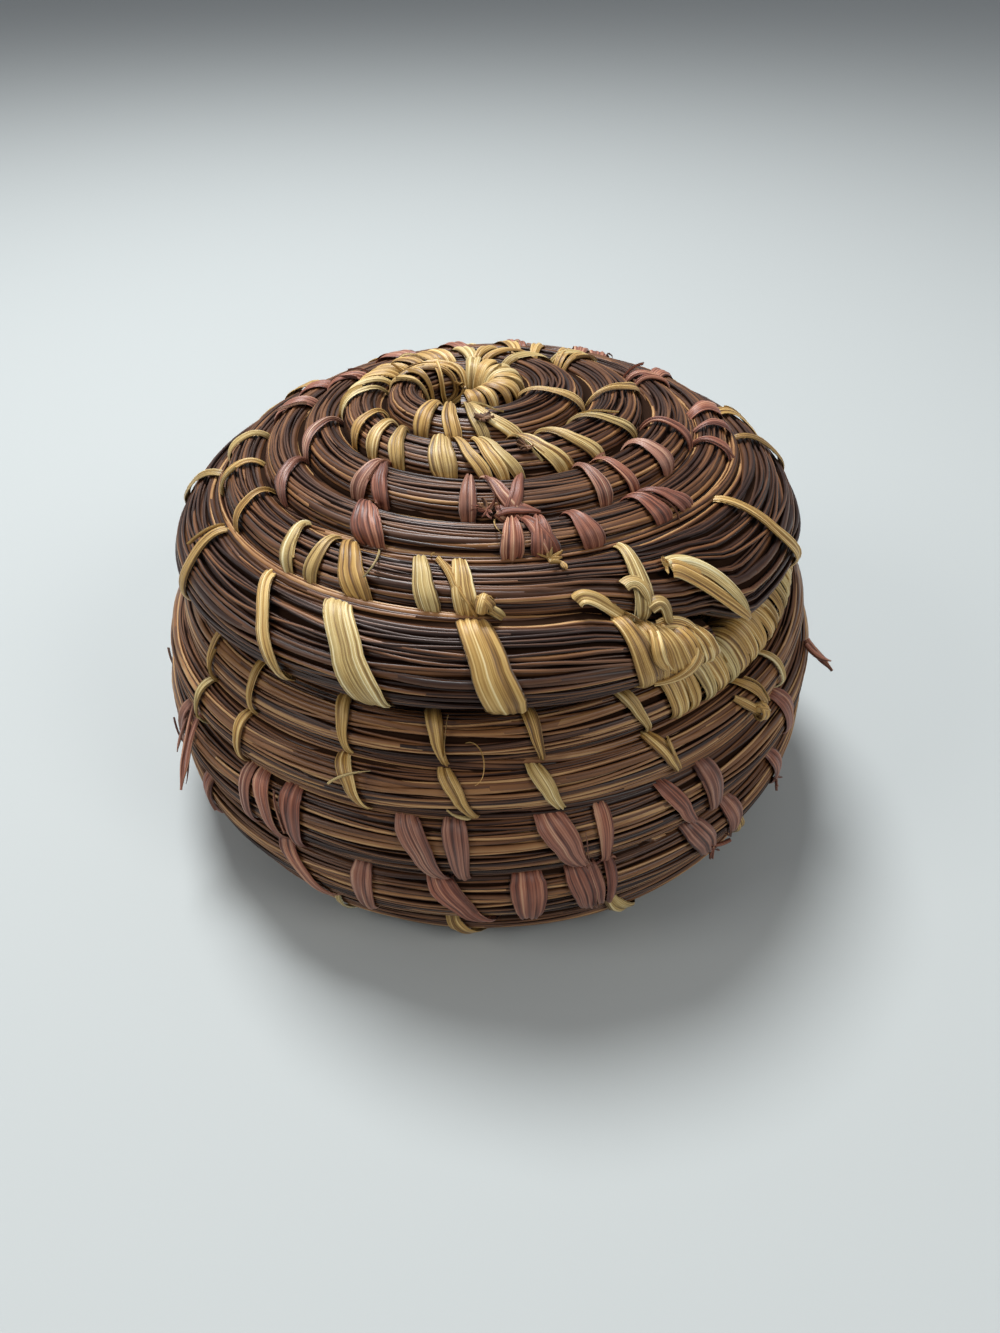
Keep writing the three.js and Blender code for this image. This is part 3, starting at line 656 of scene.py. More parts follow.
NEEDLE_TONES = [
    (0.0, (0.018, 0.006, 0.003)), (0.25, (0.062, 0.023, 0.009)), (0.5, (0.135, 0.055, 0.021)),
    (0.75, (0.220, 0.096, 0.034)), (0.92, (0.320, 0.160, 0.060)), (1.0, (0.450, 0.260, 0.110))]
BLOTCH_WAVES = 60.0
BLOTCH_CONTRAST = 0.7
CREVICE = {"From Min": 0.3, "From Max": 0.95, "To Min": -0.6, "To Max": 0.17}
GRAIN_SCALE = 900.0
GRAIN_HEIGHT = 0.00008
NEEDLE_GLOSS = {"To Min": 0.3, "To Max": 0.52}
NEEDLE_SPECULAR = 0.4


def needle_material():
    material, tree, shader = shader_material("pine_needle")
    tone = shader_attribute(tree, "needle_tone")
    own = shader_attribute(tree, "needle_own")
    travelled = shader_attribute(tree, "travelled")
    run = maths(tree, "MULTIPLY_ADD", travelled, BLOTCH_WAVES, own)
    blotch = add_node(tree, "ShaderNodeTexNoise", {"W": run, "Scale": 1.0, "Detail": 3.0},
                      noise_dimensions="1D")
    centred = maths(tree, "SUBTRACT", blotch.outputs[0], 0.5)
    shifted = maths(tree, "MULTIPLY_ADD", centred, BLOTCH_CONTRAST, tone)
    facing = shader_attribute(tree, "facing_out")
    crevice = add_node(tree, "ShaderNodeMapRange", {"Value": facing, **CREVICE})
    toned = maths(tree, "ADD", shifted, crevice.outputs["Result"])
    tree.links.new(colour_ramp(tree, toned, NEEDLE_TONES), shader.inputs["Base Color"])
    coordinates = tree.nodes.new("ShaderNodeTexCoord").outputs["Object"]
    grain = add_node(tree, "ShaderNodeTexNoise",
                     {"Vector": coordinates, "Scale": GRAIN_SCALE, "Detail": 2.0})
    bump = add_node(tree, "ShaderNodeBump",
                    {"Height": grain.outputs[0], "Strength": 0.1, "Distance": GRAIN_HEIGHT})
    tree.links.new(bump.outputs["Normal"], shader.inputs["Normal"])
    rough = add_node(tree, "ShaderNodeMapRange", {"Value": blotch.outputs[0], **NEEDLE_GLOSS})
    tree.links.new(rough.outputs["Result"], shader.inputs["Roughness"])
    shader.inputs["Specular IOR Level"].default_value = NEEDLE_SPECULAR
    return material


PINE_NEEDLE = needle_material()
print("material:", PINE_NEEDLE.name)

# %% [markdown]
# A dark core fills each bundle, so that no light comes through between the needles. Its near-black colour
# is
# painted shade: it stands for the shaded needles deep inside the bundle. It is a plain tube that reaches a
# little into the courses beside it, and stays inside the needles where no course follows.

# %% The dark core
# The core's near-black colour is painted shade of the bundle's inside.
CORE_SHADE_COLOUR = (0.022, 0.009, 0.004, 1)
CORE_ROUGHNESS = 0.95
CORE_SPECULAR = 0.1
CORE = plain_material("bundle_shade_core", CORE_SHADE_COLOUR, CORE_ROUGHNESS, CORE_SPECULAR)
CORE_STEP = 4
CORE_SIDES = 12
CORE_SHARE = 0.7
CORE_OVERLAP = 0.45
FREE_EDGE_INSET = 0.9
FIRST_COURSE_ENDS = (0.9, 1.05)
LAST_COURSE_BEGINS = (1.1, 0.95)


def core_rings(rule):
    turns = turn_steps(rule, 0, rule["turns"], CORE_STEP)
    coil = coil_at(rule, turns)
    has_next = 1 - smooth_step(turns, *(rule["turns"] - left for left in LAST_COURSE_BEGINS))
    has_former = smooth_step(turns, *FIRST_COURSE_ENDS)
    rings = []
    for angle in np.linspace(0, FULL_TURN, CORE_SIDES, endpoint=False):
        neighbour = has_next if math.cos(angle) > 0 else has_former
        reach = coil["half_width"] + CORE_OVERLAP * neighbour - FREE_EDGE_INSET * (1 - neighbour)
        rings.append(coil["centre"] + rule["shift"] + coil["along"] * (math.cos(angle) * reach)[:, None]
                     + coil["across"] * (CORE_SHARE * math.sin(angle) * coil["half_thickness"])[:, None])
    return np.stack(rings, axis=1) * MM


def lay_core(name, rule, body, node):
    rings = core_rings(rule)
    count, sides = rings.shape[:2]
    faces = []
    for row in range(0, (count - 1) * sides, sides):
        for s in range(sides):
            beside = (s + 1) % sides
            faces.append((row + s, row + beside, row + sides + beside, row + sides + s))
    faces += [tuple(range(sides)), tuple(range((count - 1) * sides, count * sides))]
    mesh = bpy.data.meshes.new(name)
    mesh.from_pydata([tuple(v) for v in rings.reshape(-1, 3)], [], faces)
    face_outwards(mesh)
    mesh.materials.append(CORE)
    piece = bpy.data.objects.new(name, mesh)
    bpy.context.scene.collection.objects.link(piece)
    finish_piece(piece, body, [node])


lay_core("basket_core", BASKET_RULE, "basket", "basket_coil")
lay_core("lid_core", LID_RULE, "lid", "lid_coil")
lay_core("ring_core", RING_RULE, "lid", "lid_locating_ring")

# %% [markdown]
# The needles that can be seen lie on the core. The basket's and the lid's are laid in a few stretches of
# the spiral, so that no piece gets too heavy. The wall's needles are the finest.

# %% Needles of the basket, the lid and the ring
WANDER = 0.55
DIVE = 0.2
NEEDLE_LENGTH = 0.15
NEEDLE_STEP = 2.4


def lay_bundle(name, strip, body, node, count, radius, sides, seed, layer_share=1.0):
    piece = path_object(name, [strip])
    grow(piece, NEEDLE_TREE, {
        "Needle Count": count, "Needle Radius": radius * MM, "Layer Share": layer_share, "Wander": WANDER,
        "Dive": DIVE, "Needle Length": NEEDLE_LENGTH, "Sides": sides, "Seed": seed,
        "Material": PINE_NEEDLE})
    finish_piece(piece, body, [node])


def lay_needles(name, rule, start, end, body, node, step=NEEDLE_STEP, **needles):
    lay_bundle(name, bundle_strip(rule, start, end, step), body, node, **needles)


WALL_START = 5.45
BELLY_START = 7.45
RIM_START = 8.95
SHOULDER_START = 3.5
LID_RIM_START = 4.9
BASE_NEEDLES = dict(count=36, radius=0.62, sides=5, seed=11)
WALL_NEEDLES = dict(count=50, radius=0.5, sides=5, seed=11)
LID_NEEDLES = dict(count=44, radius=0.53, sides=5, seed=15)
RING_NEEDLES = dict(count=20, radius=0.5, sides=5, seed=18)
lay_needles("needles_base", BASKET_RULE, 0, WALL_START, "basket", "basket_coil", step=3.2, **BASE_NEEDLES)
for name, start, end in (("needles_lower_wall", WALL_START, BELLY_START),
                         ("needles_belly", BELLY_START, RIM_START),
                         ("needles_rim", RIM_START, BASKET_TURNS)):
    lay_needles(name, BASKET_RULE, start, end, "basket", "basket_coil", **WALL_NEEDLES)
for name, start, end in (("lid_needles_crown", 0, SHOULDER_START),
                         ("lid_needles_shoulder", SHOULDER_START, LID_RIM_START),
                         ("lid_needles_rim", LID_RIM_START, LID_TURNS)):
    lay_needles(name, LID_RULE, start, end, "lid", "lid_coil", **LID_NEEDLES)
lay_needles("ring_needles", RING_RULE, 0, RING_TURNS, "lid", "lid_locating_ring", **RING_NEEDLES)

# %% [markdown]
# Where a bundle spreads, the gaps between its outer needles show more needles, not the core. So a second,
# thinner layer lies just under the first one.

# %% Needles of the under layer
UNDER_SHARE = 0.86
UNDER_RADIUS = 0.6
UNDER_BASE = dict(count=22, radius=UNDER_RADIUS, sides=4, seed=41, layer_share=UNDER_SHARE)
UNDER_WALL = dict(count=26, radius=UNDER_RADIUS, sides=5, seed=41, layer_share=UNDER_SHARE)
UNDER_LID = dict(count=28, radius=UNDER_RADIUS, sides=5, seed=45, layer_share=UNDER_SHARE)
lay_needles("needles_under_base", BASKET_RULE, 0, WALL_START, "basket", "basket_coil",
            step=4.0, **UNDER_BASE)
lay_needles("needles_under_wall", BASKET_RULE, WALL_START, BASKET_TURNS, "basket", "basket_coil",
            step=3.0, **UNDER_WALL)
lay_needles("lid_needles_under", LID_RULE, 0, LID_TURNS, "lid", "lid_coil", step=2.6, **UNDER_LID)

# %% [markdown]
# The foot course lies lower than its neighbours, so that the basket stands on it. That opens a seam
# beside it, inside the basket, and the maker fills such a place with a few needles more. The thin bundle
# follows the middle between the edges of the two courses, and is as wide as the seam.

# %% The seam beside the foot
SEAM_START = 4.5
SEAM_END = 5.95
SEAM_MARGIN = 1.3
SEAM_HALF_THICKNESS = 1.5
SEAM_END_SHARE = 0.3
SEAM_END_TURN = 0.1


def seam_strip(rule, start, end, step, margin, half_thickness):
    turns = turn_steps(rule, start, end, step)
    here, beyond = coil_at(rule, turns), coil_at(rule, turns + 1)
    lower = here["centre"] + here["along"] * here["half_width"][:, None]
    upper = beyond["centre"] - beyond["along"] * beyond["half_width"][:, None]
    opening = np.linalg.norm(upper - lower, axis=1)
    along = (upper - lower) / opening[:, None]
    walk = np.gradient(lower, axis=0)
    across = np.cross(along, walk)
    across /= np.linalg.norm(across, axis=1)[:, None]
    ends = smooth_step(turns, start, start + SEAM_END_TURN)
    ends = ends * (1 - smooth_step(turns, end - SEAM_END_TURN, end))
    ends = SEAM_END_SHARE + (1 - SEAM_END_SHARE) * ends
    print("widest opening of the seam, mm:", round(float(opening.max()), 1))
    return dict(points=(lower + upper) / 2 + rule["shift"], along=along, across=across,
                travelled=travelled_to(rule, turns) * MM,
                half_width=(opening / 2 + margin) * ends * MM,
                half_thickness=half_thickness * ends * MM)


SEAM = seam_strip(BASKET_RULE, SEAM_START, SEAM_END, 2.6, SEAM_MARGIN, SEAM_HALF_THICKNESS)
lay_bundle("needles_foot_seam", SEAM, "basket", "basket_coil", count=18, radius=0.55, sides=5, seed=23)

# %% [markdown]
# Between two courses of the wall, and of the lid, the needles of one bundle press against those of the
# next. Each bundle alone would leave a smooth dark groove there, so a narrow row of needles lies in the
# groove.

# %% Needles in the grooves
GROOVE_MARGIN = 2.2
GROOVE_HALF_THICKNESS = 1.6
GROOVE_STEP = 3.0
GROOVE_END = 1.05
WALL_GROOVE_START = 6.4
LID_GROOVE_START = 2.9


def groove_strip(rule, start):
    end = rule["turns"] - GROOVE_END
    return seam_strip(rule, start, end, GROOVE_STEP, GROOVE_MARGIN, GROOVE_HALF_THICKNESS)


GROOVE_NEEDLES = dict(count=16, radius=0.5, sides=4)
lay_bundle("needles_wall_groove", groove_strip(BASKET_RULE, WALL_GROOVE_START), "basket", "basket_coil",
           seed=29, **GROOVE_NEEDLES)
lay_bundle("lid_needles_groove", groove_strip(LID_RULE, LID_GROOVE_START), "lid", "lid_coil",
           seed=31, **GROOVE_NEEDLES)

# %% [markdown]
# The raffia stitches differ in width, slant and spacing, as hand sewing does. The ones that the
# photograph shows are given one by one: each is noted by the two picture points where it leaves one edge of
# its course and reaches the other. The script finds the turns of the coil that lie under these two
# points, so every stitch sits on its own course, whatever angle it is seen from.

# %% From picture points to turns of the coil
PICTURE_WIDTH = 1000
PICTURE_HEIGHT = 1333
FOCAL_PIXELS = LENS_MM / SENSOR_MM * PICTURE_HEIGHT
camera_turn = np.array(camera.rotation_euler.to_matrix())
camera_place = np.array(camera.location) / MM
EDGE_HEIGHT = 0.45
COURSE_REACH = 0.5
TURN_SAMPLES = 400
LONGEST_LEAN = 9.5
PLAIN_PINCH = 0.7


def picture_points(points):
    seen = (points - camera_place) @ camera_turn
    x = PICTURE_WIDTH / 2 + FOCAL_PIXELS * seen[:, 0] / -seen[:, 2] - AXIS_SHIFT * PICTURE_HEIGHT
    y = PICTURE_HEIGHT / 2 - FOCAL_PIXELS * seen[:, 1] / -seen[:, 2]
    return np.stack([x, y], axis=1), -seen[:, 2]


def course_edge(rule, turns, towards_next):
    coil = coil_at(rule, turns)
    points = coil["centre"] + coil["along"] * (towards_next * coil["half_width"])[:, None]
    return points + coil["across"] * (EDGE_HEIGHT * coil["half_thickness"])[:, None] + rule["shift"]


def turns_of(rule, course, count):
    return np.linspace(course - COURSE_REACH, min(course + COURSE_REACH, rule["turns"]), count)


def turn_under(rule, course, pixel, towards_next):
    turns = turns_of(rule, course, TURN_SAMPLES)
    seen, depth = picture_points(course_edge(rule, turns, towards_next))
    best = np.argmin(np.linalg.norm(seen - np.array(pixel), axis=1))
    return turns[best], depth[best] / FOCAL_PIXELS


def seen_stitch(rule, course, inner_pixel, outer_pixel, width_pixels, pinch):
    inner, _ = turn_under(rule, course, inner_pixel, -1)
    outer, mm_per_pixel = turn_under(rule, course, outer_pixel, 1)
    furthest = LONGEST_LEAN / (FULL_TURN * float(coil_at(rule, inner)["radius"][0]))
    outer = inner + np.clip(outer - inner, -furthest, furthest)
    return dict(inner=inner, outer=outer, width=width_pixels * mm_per_pixel, pinch=pinch)


def plain_stitch(course, azimuth, width, lean, radius, pinch=PLAIN_PINCH):
    turn = course + (azimuth + 90) / 360
    half_lean = lean / 2 / (FULL_TURN * radius)
    return dict(inner=turn - half_lean, outer=turn + half_lean, width=width, pinch=pinch)


PROBE_POINT = (470, 830)
probe_turn, probe_scale = turn_under(BASKET_RULE, 8, PROBE_POINT, 1)
print("a probe point lies at turn", round(float(probe_turn), 3))
print("one pixel there is, mm:", round(probe_scale, 3))

# %% [markdown]
# A stitch goes once round its bundle, so its middle line is a closed walk round the bundle's section, a
# little outside the needles. It is pinched where it comes out beside the course before and spreads to its
# full width on the other side. Behind the bundle it is narrower. Each point of the line also gets the
# direction of the ribbon's width and of its face, for the tree below. A strip lies in pleats of about a
# millimetre and a half, so a wide stitch has more of them than a narrow one.

# %% The middle line of a stitch
STITCH_STEPS = 44
OVERLAP = 0.12
HIDDEN_BELOW = 0.6
EDGE_LIFT = 0.25
STITCH_SECTION_POWER = 0.8
SPREAD_BETWEEN = (0.05, 0.75)
HIDDEN_NARROWING = 0.45
TUCK_NARROWING = 0.18
TUCK_BETWEEN = (0.75, 1.0)
PLEAT_WIDTH = 1.5
FEWEST_PLEATS = 0.6
OWN_PLACES = 500
STITCH_SEED = 5
chance = np.random.default_rng(STITCH_SEED)


def unit(vectors):
    return vectors / np.linalg.norm(vectors, axis=1)[:, None]


def signed_power(values, power):
    return np.sign(values) * np.abs(values) ** power


def stitch_line(rule, stitch, lift):
    phase = np.linspace(-(0.5 + OVERLAP) * math.pi, (1.5 + OVERLAP) * math.pi, STITCH_STEPS)
    towards_next = -np.cos(phase)
    outside = np.sin(phase)
    share = 0.5 + 0.5 * np.clip(towards_next, -1, 1)
    hidden = smooth_step(-outside, 0.0, HIDDEN_BELOW)
    share = share * (1 - hidden) + 0.5 * hidden
    turn = stitch["inner"] + (stitch["outer"] - stitch["inner"]) * share
    coil = coil_at(rule, turn)
    x = (coil["half_width"] + EDGE_LIFT * lift) * signed_power(towards_next, STITCH_SECTION_POWER)
    y = (coil["half_thickness"] + lift) * signed_power(outside, STITCH_SECTION_POWER)
    points = coil["centre"] + coil["along"] * x[:, None] + coil["across"] * y[:, None] + rule["shift"]
    walk = unit(np.gradient(points, axis=0))
    azimuth = FRONT + turn * FULL_TURN
    round_about = np.stack([-np.sin(azimuth), np.cos(azimuth), 0 * azimuth], axis=1)
    face = np.cross(walk, round_about)
    outwards = coil["along"] * x[:, None] + coil["across"] * y[:, None]
    face = unit(face * np.sign(np.sum(face * outwards, axis=1))[:, None])
    widthwise = unit(np.cross(face, walk))
    spread = stitch["pinch"] + (1 - stitch["pinch"]) * smooth_step(share, *SPREAD_BETWEEN)
    spread = spread * (1 - HIDDEN_NARROWING * hidden)
    tucked = smooth_step(towards_next, *TUCK_BETWEEN) * (outside < HIDDEN_BELOW)
    spread = spread * (1 - TUCK_NARROWING * tucked)
    return ribbon_strip(points, widthwise, face, stitch["width"] / 2 * spread)


def ribbon_strip(points, widthwise, face, half_width):
    length = np.r_[0, np.cumsum(np.linalg.norm(np.diff(points, axis=0), axis=1))]
    half_width = np.broadcast_to(half_width, len(points))
    pleats = max(2 * half_width.max() / PLEAT_WIDTH, FEWEST_PLEATS)
    own = chance.uniform(0, OWN_PLACES)
    return dict(points=points, widthwise=widthwise, face=face, half_width=half_width * MM,
                run=length * MM, own=np.full(len(points), own), pleats=np.full(len(points), pleats))


# %% [markdown]
# Raffia is a dried leaf strip. It lies in narrow lengthwise pleats with sharp valleys between them, and
# fine fibres run along it. The ribbon tree sweeps a flat loop along each middle line and then moves its
# points: across by the ribbon's width, and out by pleats, slow waves and fibre ridges stretched along it.

# %% The ribbon tree
PLEAT_BEND = 2.2
PLEAT_POWER = 0.7
PLEAT_UNEVENNESS = 1.6
FIBRE_DEPTH_SHARE = 0.3
EDGE_POWER = 4.0
EDGE_FALL = -0.8
JUST_INSIDE = 0.9999


def strip_noise(tree, u, v, detail):
    place = add_node(tree, "ShaderNodeCombineXYZ", {0: u, 1: v, 2: 0.0}).outputs[0]
    noise = add_node(tree, "ShaderNodeTexNoise", {"Vector": place, "Scale": 1.0, "Detail": detail},
                     noise_dimensions="3D")
    return noise.outputs[0]


def ribbon_tree():
    tree = new_tree("raffia_ribbon", [
        ("Thickness", "NodeSocketFloat"), ("Pleat Depth", "NodeSocketFloat"),
        ("Wave Depth", "NodeSocketFloat"), ("Fray", "NodeSocketFloat"),
        ("Columns", "NodeSocketInt"), ("Material", "NodeSocketMaterial")])
    source = tree.nodes.new("NodeGroupInput").outputs
    line = add_node(tree, "GeometryNodeMeshToCurve", {"Mesh": source["Geometry"]}).outputs["Curve"]
    place = add_node(tree, "GeometryNodeInputPosition").outputs[0]
    line = store(tree, line, "middle", place, "FLOAT_VECTOR")
    circle = add_node(tree, "GeometryNodeCurvePrimitiveCircle",
                      {"Resolution": source["Columns"], "Radius": 1.0})
    parts = add_node(tree, "ShaderNodeSeparateXYZ",
                     {0: add_node(tree, "GeometryNodeInputPosition").outputs[0]})
    within = maths(tree, "MULTIPLY", parts.outputs["X"], JUST_INSIDE)
    even = maths(tree, "DIVIDE", maths(tree, "ARCSINE", within), math.pi / 2)
    loop = store(tree, circle.outputs["Curve"], "ribbon_across", even)
    loop = store(tree, loop, "ribbon_side", parts.outputs["Y"])
    swept = add_node(tree, "GeometryNodeCurveToMesh",
                     {"Curve": line, "Profile Curve": loop, "Fill Caps": True})
    across = attribute(tree, "ribbon_across")
    side = attribute(tree, "ribbon_side")
    run = attribute(tree, "run")
    own = attribute(tree, "own")
    half_width = attribute(tree, "half_width")

    def waves(per_width, along, offset, detail):
        u = maths(tree, "MULTIPLY_ADD", across, per_width, own)
        v = maths(tree, "MULTIPLY_ADD", run, along, maths(tree, "ADD", own, offset))
        return maths(tree, "SUBTRACT", strip_noise(tree, u, v, detail), 0.5)

    bending = waves(per_width=0.6, along=90.0, offset=5.0, detail=1.0)
    bend = maths(tree, "MULTIPLY", bending, PLEAT_BEND)
    pleat_angle = maths(tree, "MULTIPLY", attribute(tree, "pleats"), math.pi / 2)
    turned = maths(tree, "MULTIPLY_ADD", across, pleat_angle, maths(tree, "ADD", own, bend))
    pleat = maths(tree, "POWER", maths(tree, "ABSOLUTE", maths(tree, "SINE", turned)), PLEAT_POWER)
    unevenness = waves(per_width=2.2, along=25.0, offset=9.0, detail=0.0)
    uneven = maths(tree, "MULTIPLY_ADD", unevenness, PLEAT_UNEVENNESS, 1.0)
    pleats = maths(tree, "MULTIPLY", maths(tree, "MULTIPLY", pleat, uneven), source["Pleat Depth"])
    waving = waves(per_width=1.3, along=120.0, offset=3.0, detail=1.0)
    slow = maths(tree, "MULTIPLY", waving, source["Wave Depth"])
    ridges = waves(per_width=11.0, along=50.0, offset=7.0, detail=1.0)
    fibre_depth = maths(tree, "MULTIPLY", source["Pleat Depth"], FIBRE_DEPTH_SHARE)
    fibres = maths(tree, "MULTIPLY", ridges, fibre_depth)
    edge = maths(tree, "POWER", maths(tree, "ABSOLUTE", across), EDGE_POWER)
    fall = maths(tree, "MULTIPLY", maths(tree, "MULTIPLY", edge, source["Pleat Depth"]), EDGE_FALL)
    thick = maths(tree, "MULTIPLY", maths(tree, "MULTIPLY", side, source["Thickness"]), 0.5)
    height = pleats
    for part in (fibres, slow, fall, thick):
        height = maths(tree, "ADD", height, part)
    fraying = waves(per_width=1.1, along=160.0, offset=11.0, detail=2.0)
    fray = maths(tree, "MULTIPLY_ADD", fraying, source["Fray"], 1.0)
    sideways = maths(tree, "MULTIPLY", maths(tree, "MULTIPLY", across, half_width), fray)
    place = added(tree, attribute(tree, "middle", "FLOAT_VECTOR"),
                  scaled(tree, attribute(tree, "widthwise", "FLOAT_VECTOR"), sideways),
                  scaled(tree, attribute(tree, "face", "FLOAT_VECTOR"), height))
    # The pleat's height is stored for the material, which paints shade into the valleys from it.
    marked = store(tree, swept.outputs["Mesh"], "pleat", pleat)
    ribbon = add_node(tree, "GeometryNodeSetPosition", {"Geometry": marked, "Position": place})
    whole = add_node(tree, "GeometryNodeRealizeInstances", {"Geometry": ribbon.outputs["Geometry"]})
    dressed = add_node(tree, "GeometryNodeSetMaterial",
                       {"Geometry": whole.outputs["Geometry"], "Material": source["Material"]})
    sink = tree.nodes.new("NodeGroupOutput")
    tree.links.new(dressed.outputs["Geometry"], sink.inputs["Geometry"])
    return tree


RIBBON_TREE = ribbon_tree()
print("ribbon tree nodes:", len(RIBBON_TREE.nodes))

# %% [markdown]
# Two raffia colours are used: natural straw tan, and a dusty rose that has faded towards brown. Fine
# fibres of lighter and darker tone run along the strip, each stitch has its own tone, and the dried leaf
# keeps a satin sheen. The pleats' ridges are painted lighter and their valleys darker: painted shade in
# the creases.

# %% Raffia materials
TAN_TONES = [(0.0, (0.095, 0.041, 0.008)), (0.3, (0.27, 0.138, 0.029)), (0.55, (0.46, 0.262, 0.064)),
             (0.8, (0.62, 0.405, 0.128)), (1.0, (0.80, 0.64, 0.32))]
PALE_TONES = [(0.0, (0.12, 0.072, 0.020)), (0.3, (0.31, 0.205, 0.066)), (0.55, (0.50, 0.370, 0.140)),
              (0.8, (0.66, 0.54, 0.26)), (1.0, (0.82, 0.74, 0.46))]
ROSE_TONES = [(0.0, (0.050, 0.012, 0.006)), (0.3, (0.145, 0.041, 0.022)), (0.55, (0.255, 0.082, 0.044)),
              (0.8, (0.39, 0.155, 0.086)), (1.0, (0.54, 0.31, 0.18))]
DUSTY_TONES = [(0.0, (0.048, 0.016, 0.010)), (0.3, (0.135, 0.049, 0.031)), (0.55, (0.235, 0.098, 0.062)),
               (0.8, (0.36, 0.178, 0.115)), (1.0, (0.54, 0.36, 0.24))]
MIDDLE_TONE = 0.2
FINE_CONTRAST = 2.4
BROAD_CONTRAST = 0.9
OWN_CONTRAST = 0.3
# How much lighter the pleats' ridges are than their valleys: painted shade in the creases.
PAINTED_PLEAT_SHADE = 0.42
OTHER_TONES = {"From Min": 0.55, "From Max": 0.9}
FIBRE_HEIGHT = 0.0002
RAFFIA_GLOSS = {"To Min": 0.34, "To Max": 0.6}
RAFFIA_SHEEN = 0.08


def raffia_material(name, tones, other_tones):
    material, tree, shader = shader_material(name)
    across = shader_attribute(tree, "ribbon_across")
    run = shader_attribute(tree, "run")
    own = shader_attribute(tree, "own")

    def fibres(per_width, along, detail):
        u = maths(tree, "MULTIPLY_ADD", across, per_width, own)
        v = maths(tree, "MULTIPLY_ADD", run, along, own)
        return strip_noise(tree, u, v, detail)

    def own_share(offset):
        place = maths(tree, "ADD", own, offset)
        return add_node(tree, "ShaderNodeTexWhiteNoise", {"W": place}, noise_dimensions="1D").outputs[0]

    def contrasted(value, contrast):
        return maths(tree, "MULTIPLY", maths(tree, "SUBTRACT", value, 0.5), contrast)

    fine = fibres(per_width=8.0, along=20.0, detail=4.0)
    broad = fibres(per_width=2.4, along=70.0, detail=2.0)
    pleat = shader_attribute(tree, "pleat")
    # Painted shade: darker in the pleats' valleys, lighter on their ridges.
    tone = maths(tree, "MULTIPLY_ADD", pleat, PAINTED_PLEAT_SHADE, MIDDLE_TONE)
    for value, contrast in ((fine, FINE_CONTRAST), (broad, BROAD_CONTRAST),
                            (own_share(0.0), OWN_CONTRAST)):
        tone = maths(tree, "ADD", tone, contrasted(value, contrast))
    mixed = add_node(tree, "ShaderNodeMix", data_type="RGBA")
    colours = [socket for socket in mixed.inputs if socket.type == "RGBA"]
    share = add_node(tree, "ShaderNodeMapRange", {"Value": own_share(7.0), **OTHER_TONES})
    tree.links.new(share.outputs["Result"], mixed.inputs[0])
    tree.links.new(colour_ramp(tree, tone, tones), colours[0])
    tree.links.new(colour_ramp(tree, tone, other_tones), colours[1])
    blended = next(socket for socket in mixed.outputs if socket.type == "RGBA")
    tree.links.new(blended, shader.inputs["Base Color"])
    bump = add_node(tree, "ShaderNodeBump", {"Height": fine, "Strength": 0.6, "Distance": FIBRE_HEIGHT})
    tree.links.new(bump.outputs["Normal"], shader.inputs["Normal"])
    rough = add_node(tree, "ShaderNodeMapRange", {"Value": fine, **RAFFIA_GLOSS})
    tree.links.new(rough.outputs["Result"], shader.inputs["Roughness"])
    shader.inputs["Sheen Weight"].default_value = RAFFIA_SHEEN
    return material


TAN_RAFFIA = raffia_material("tan_raffia", TAN_TONES, PALE_TONES)
ROSE_RAFFIA = raffia_material("rose_raffia", ROSE_TONES, DUSTY_TONES)
CUT_NEEDLES = raffia_material("cut_needle_ends", NEEDLE_TONES, NEEDLE_TONES)
SLOT_MATERIALS = {"tan_raffia": TAN_RAFFIA, "rose_raffia": ROSE_RAFFIA, "pine_needle": CUT_NEEDLES}
print("raffia materials:", TAN_RAFFIA.name, ROSE_RAFFIA.name)

# %% [markdown]
# Each strand becomes one piece: all its stitches, each a little higher or lower than the next, so that
# two that overlap don't lie in one plane. At every third stitch a single fibre comes loose from the edge,
# runs beside it for a few millimetres and ends free.

# %% Sewing a strand
RAFFIA_THICKNESS = 0.22
RAFFIA_COLUMNS = 32
PLEAT_DEPTH = 0.34
WAVE_DEPTH = 0.35
FRAY = 0.07
STITCH_LIFT = 0.15
LIFT_STEP = 0.06
LIFT_LEVELS = 3
FIBRE_EVERY = 3
FIBRE_STEPS = 14
FIBRE_HALF_WIDTH = 0.05
FIBRE_EDGE = 0.96


def lay_ribbons(name, strips, body, node, slot, columns=RAFFIA_COLUMNS, pleat=PLEAT_DEPTH,
                wave=WAVE_DEPTH):
    piece = path_object(name, strips)
    grow(piece, RIBBON_TREE, {
        "Thickness": RAFFIA_THICKNESS * MM, "Pleat Depth": pleat * MM, "Wave Depth": wave * MM,
        "Fray": FRAY, "Columns": columns, "Material": SLOT_MATERIALS[slot]})
    finish_piece(piece, body, [node])


def loose_fibre(strip):
    first = int(chance.integers(8, 22))
    size = int(chance.integers(7, 14))
    edge = chance.choice([-1, 1])
    rows = np.linspace(first, first + size, FIBRE_STEPS)
    whole = np.arange(len(strip["points"]))

    def at(field):
        return np.stack([np.interp(rows, whole, field[:, i]) for i in range(3)], axis=1)

    points, widthwise, face = (at(strip[key]) for key in ("points", "widthwise", "face"))
    half = np.interp(rows, whole, strip["half_width"]) / MM
    away = np.linspace(0, 1, len(rows)) ** 2
    points = points + widthwise * (edge * (half * FIBRE_EDGE + chance.uniform(0.2, 1.3) * away))[:, None]
    points = points + face * (0.1 + chance.uniform(0.0, 0.9) * away)[:, None]
    return ribbon_strip(points, widthwise, face, FIBRE_HALF_WIDTH * (1.05 - away))


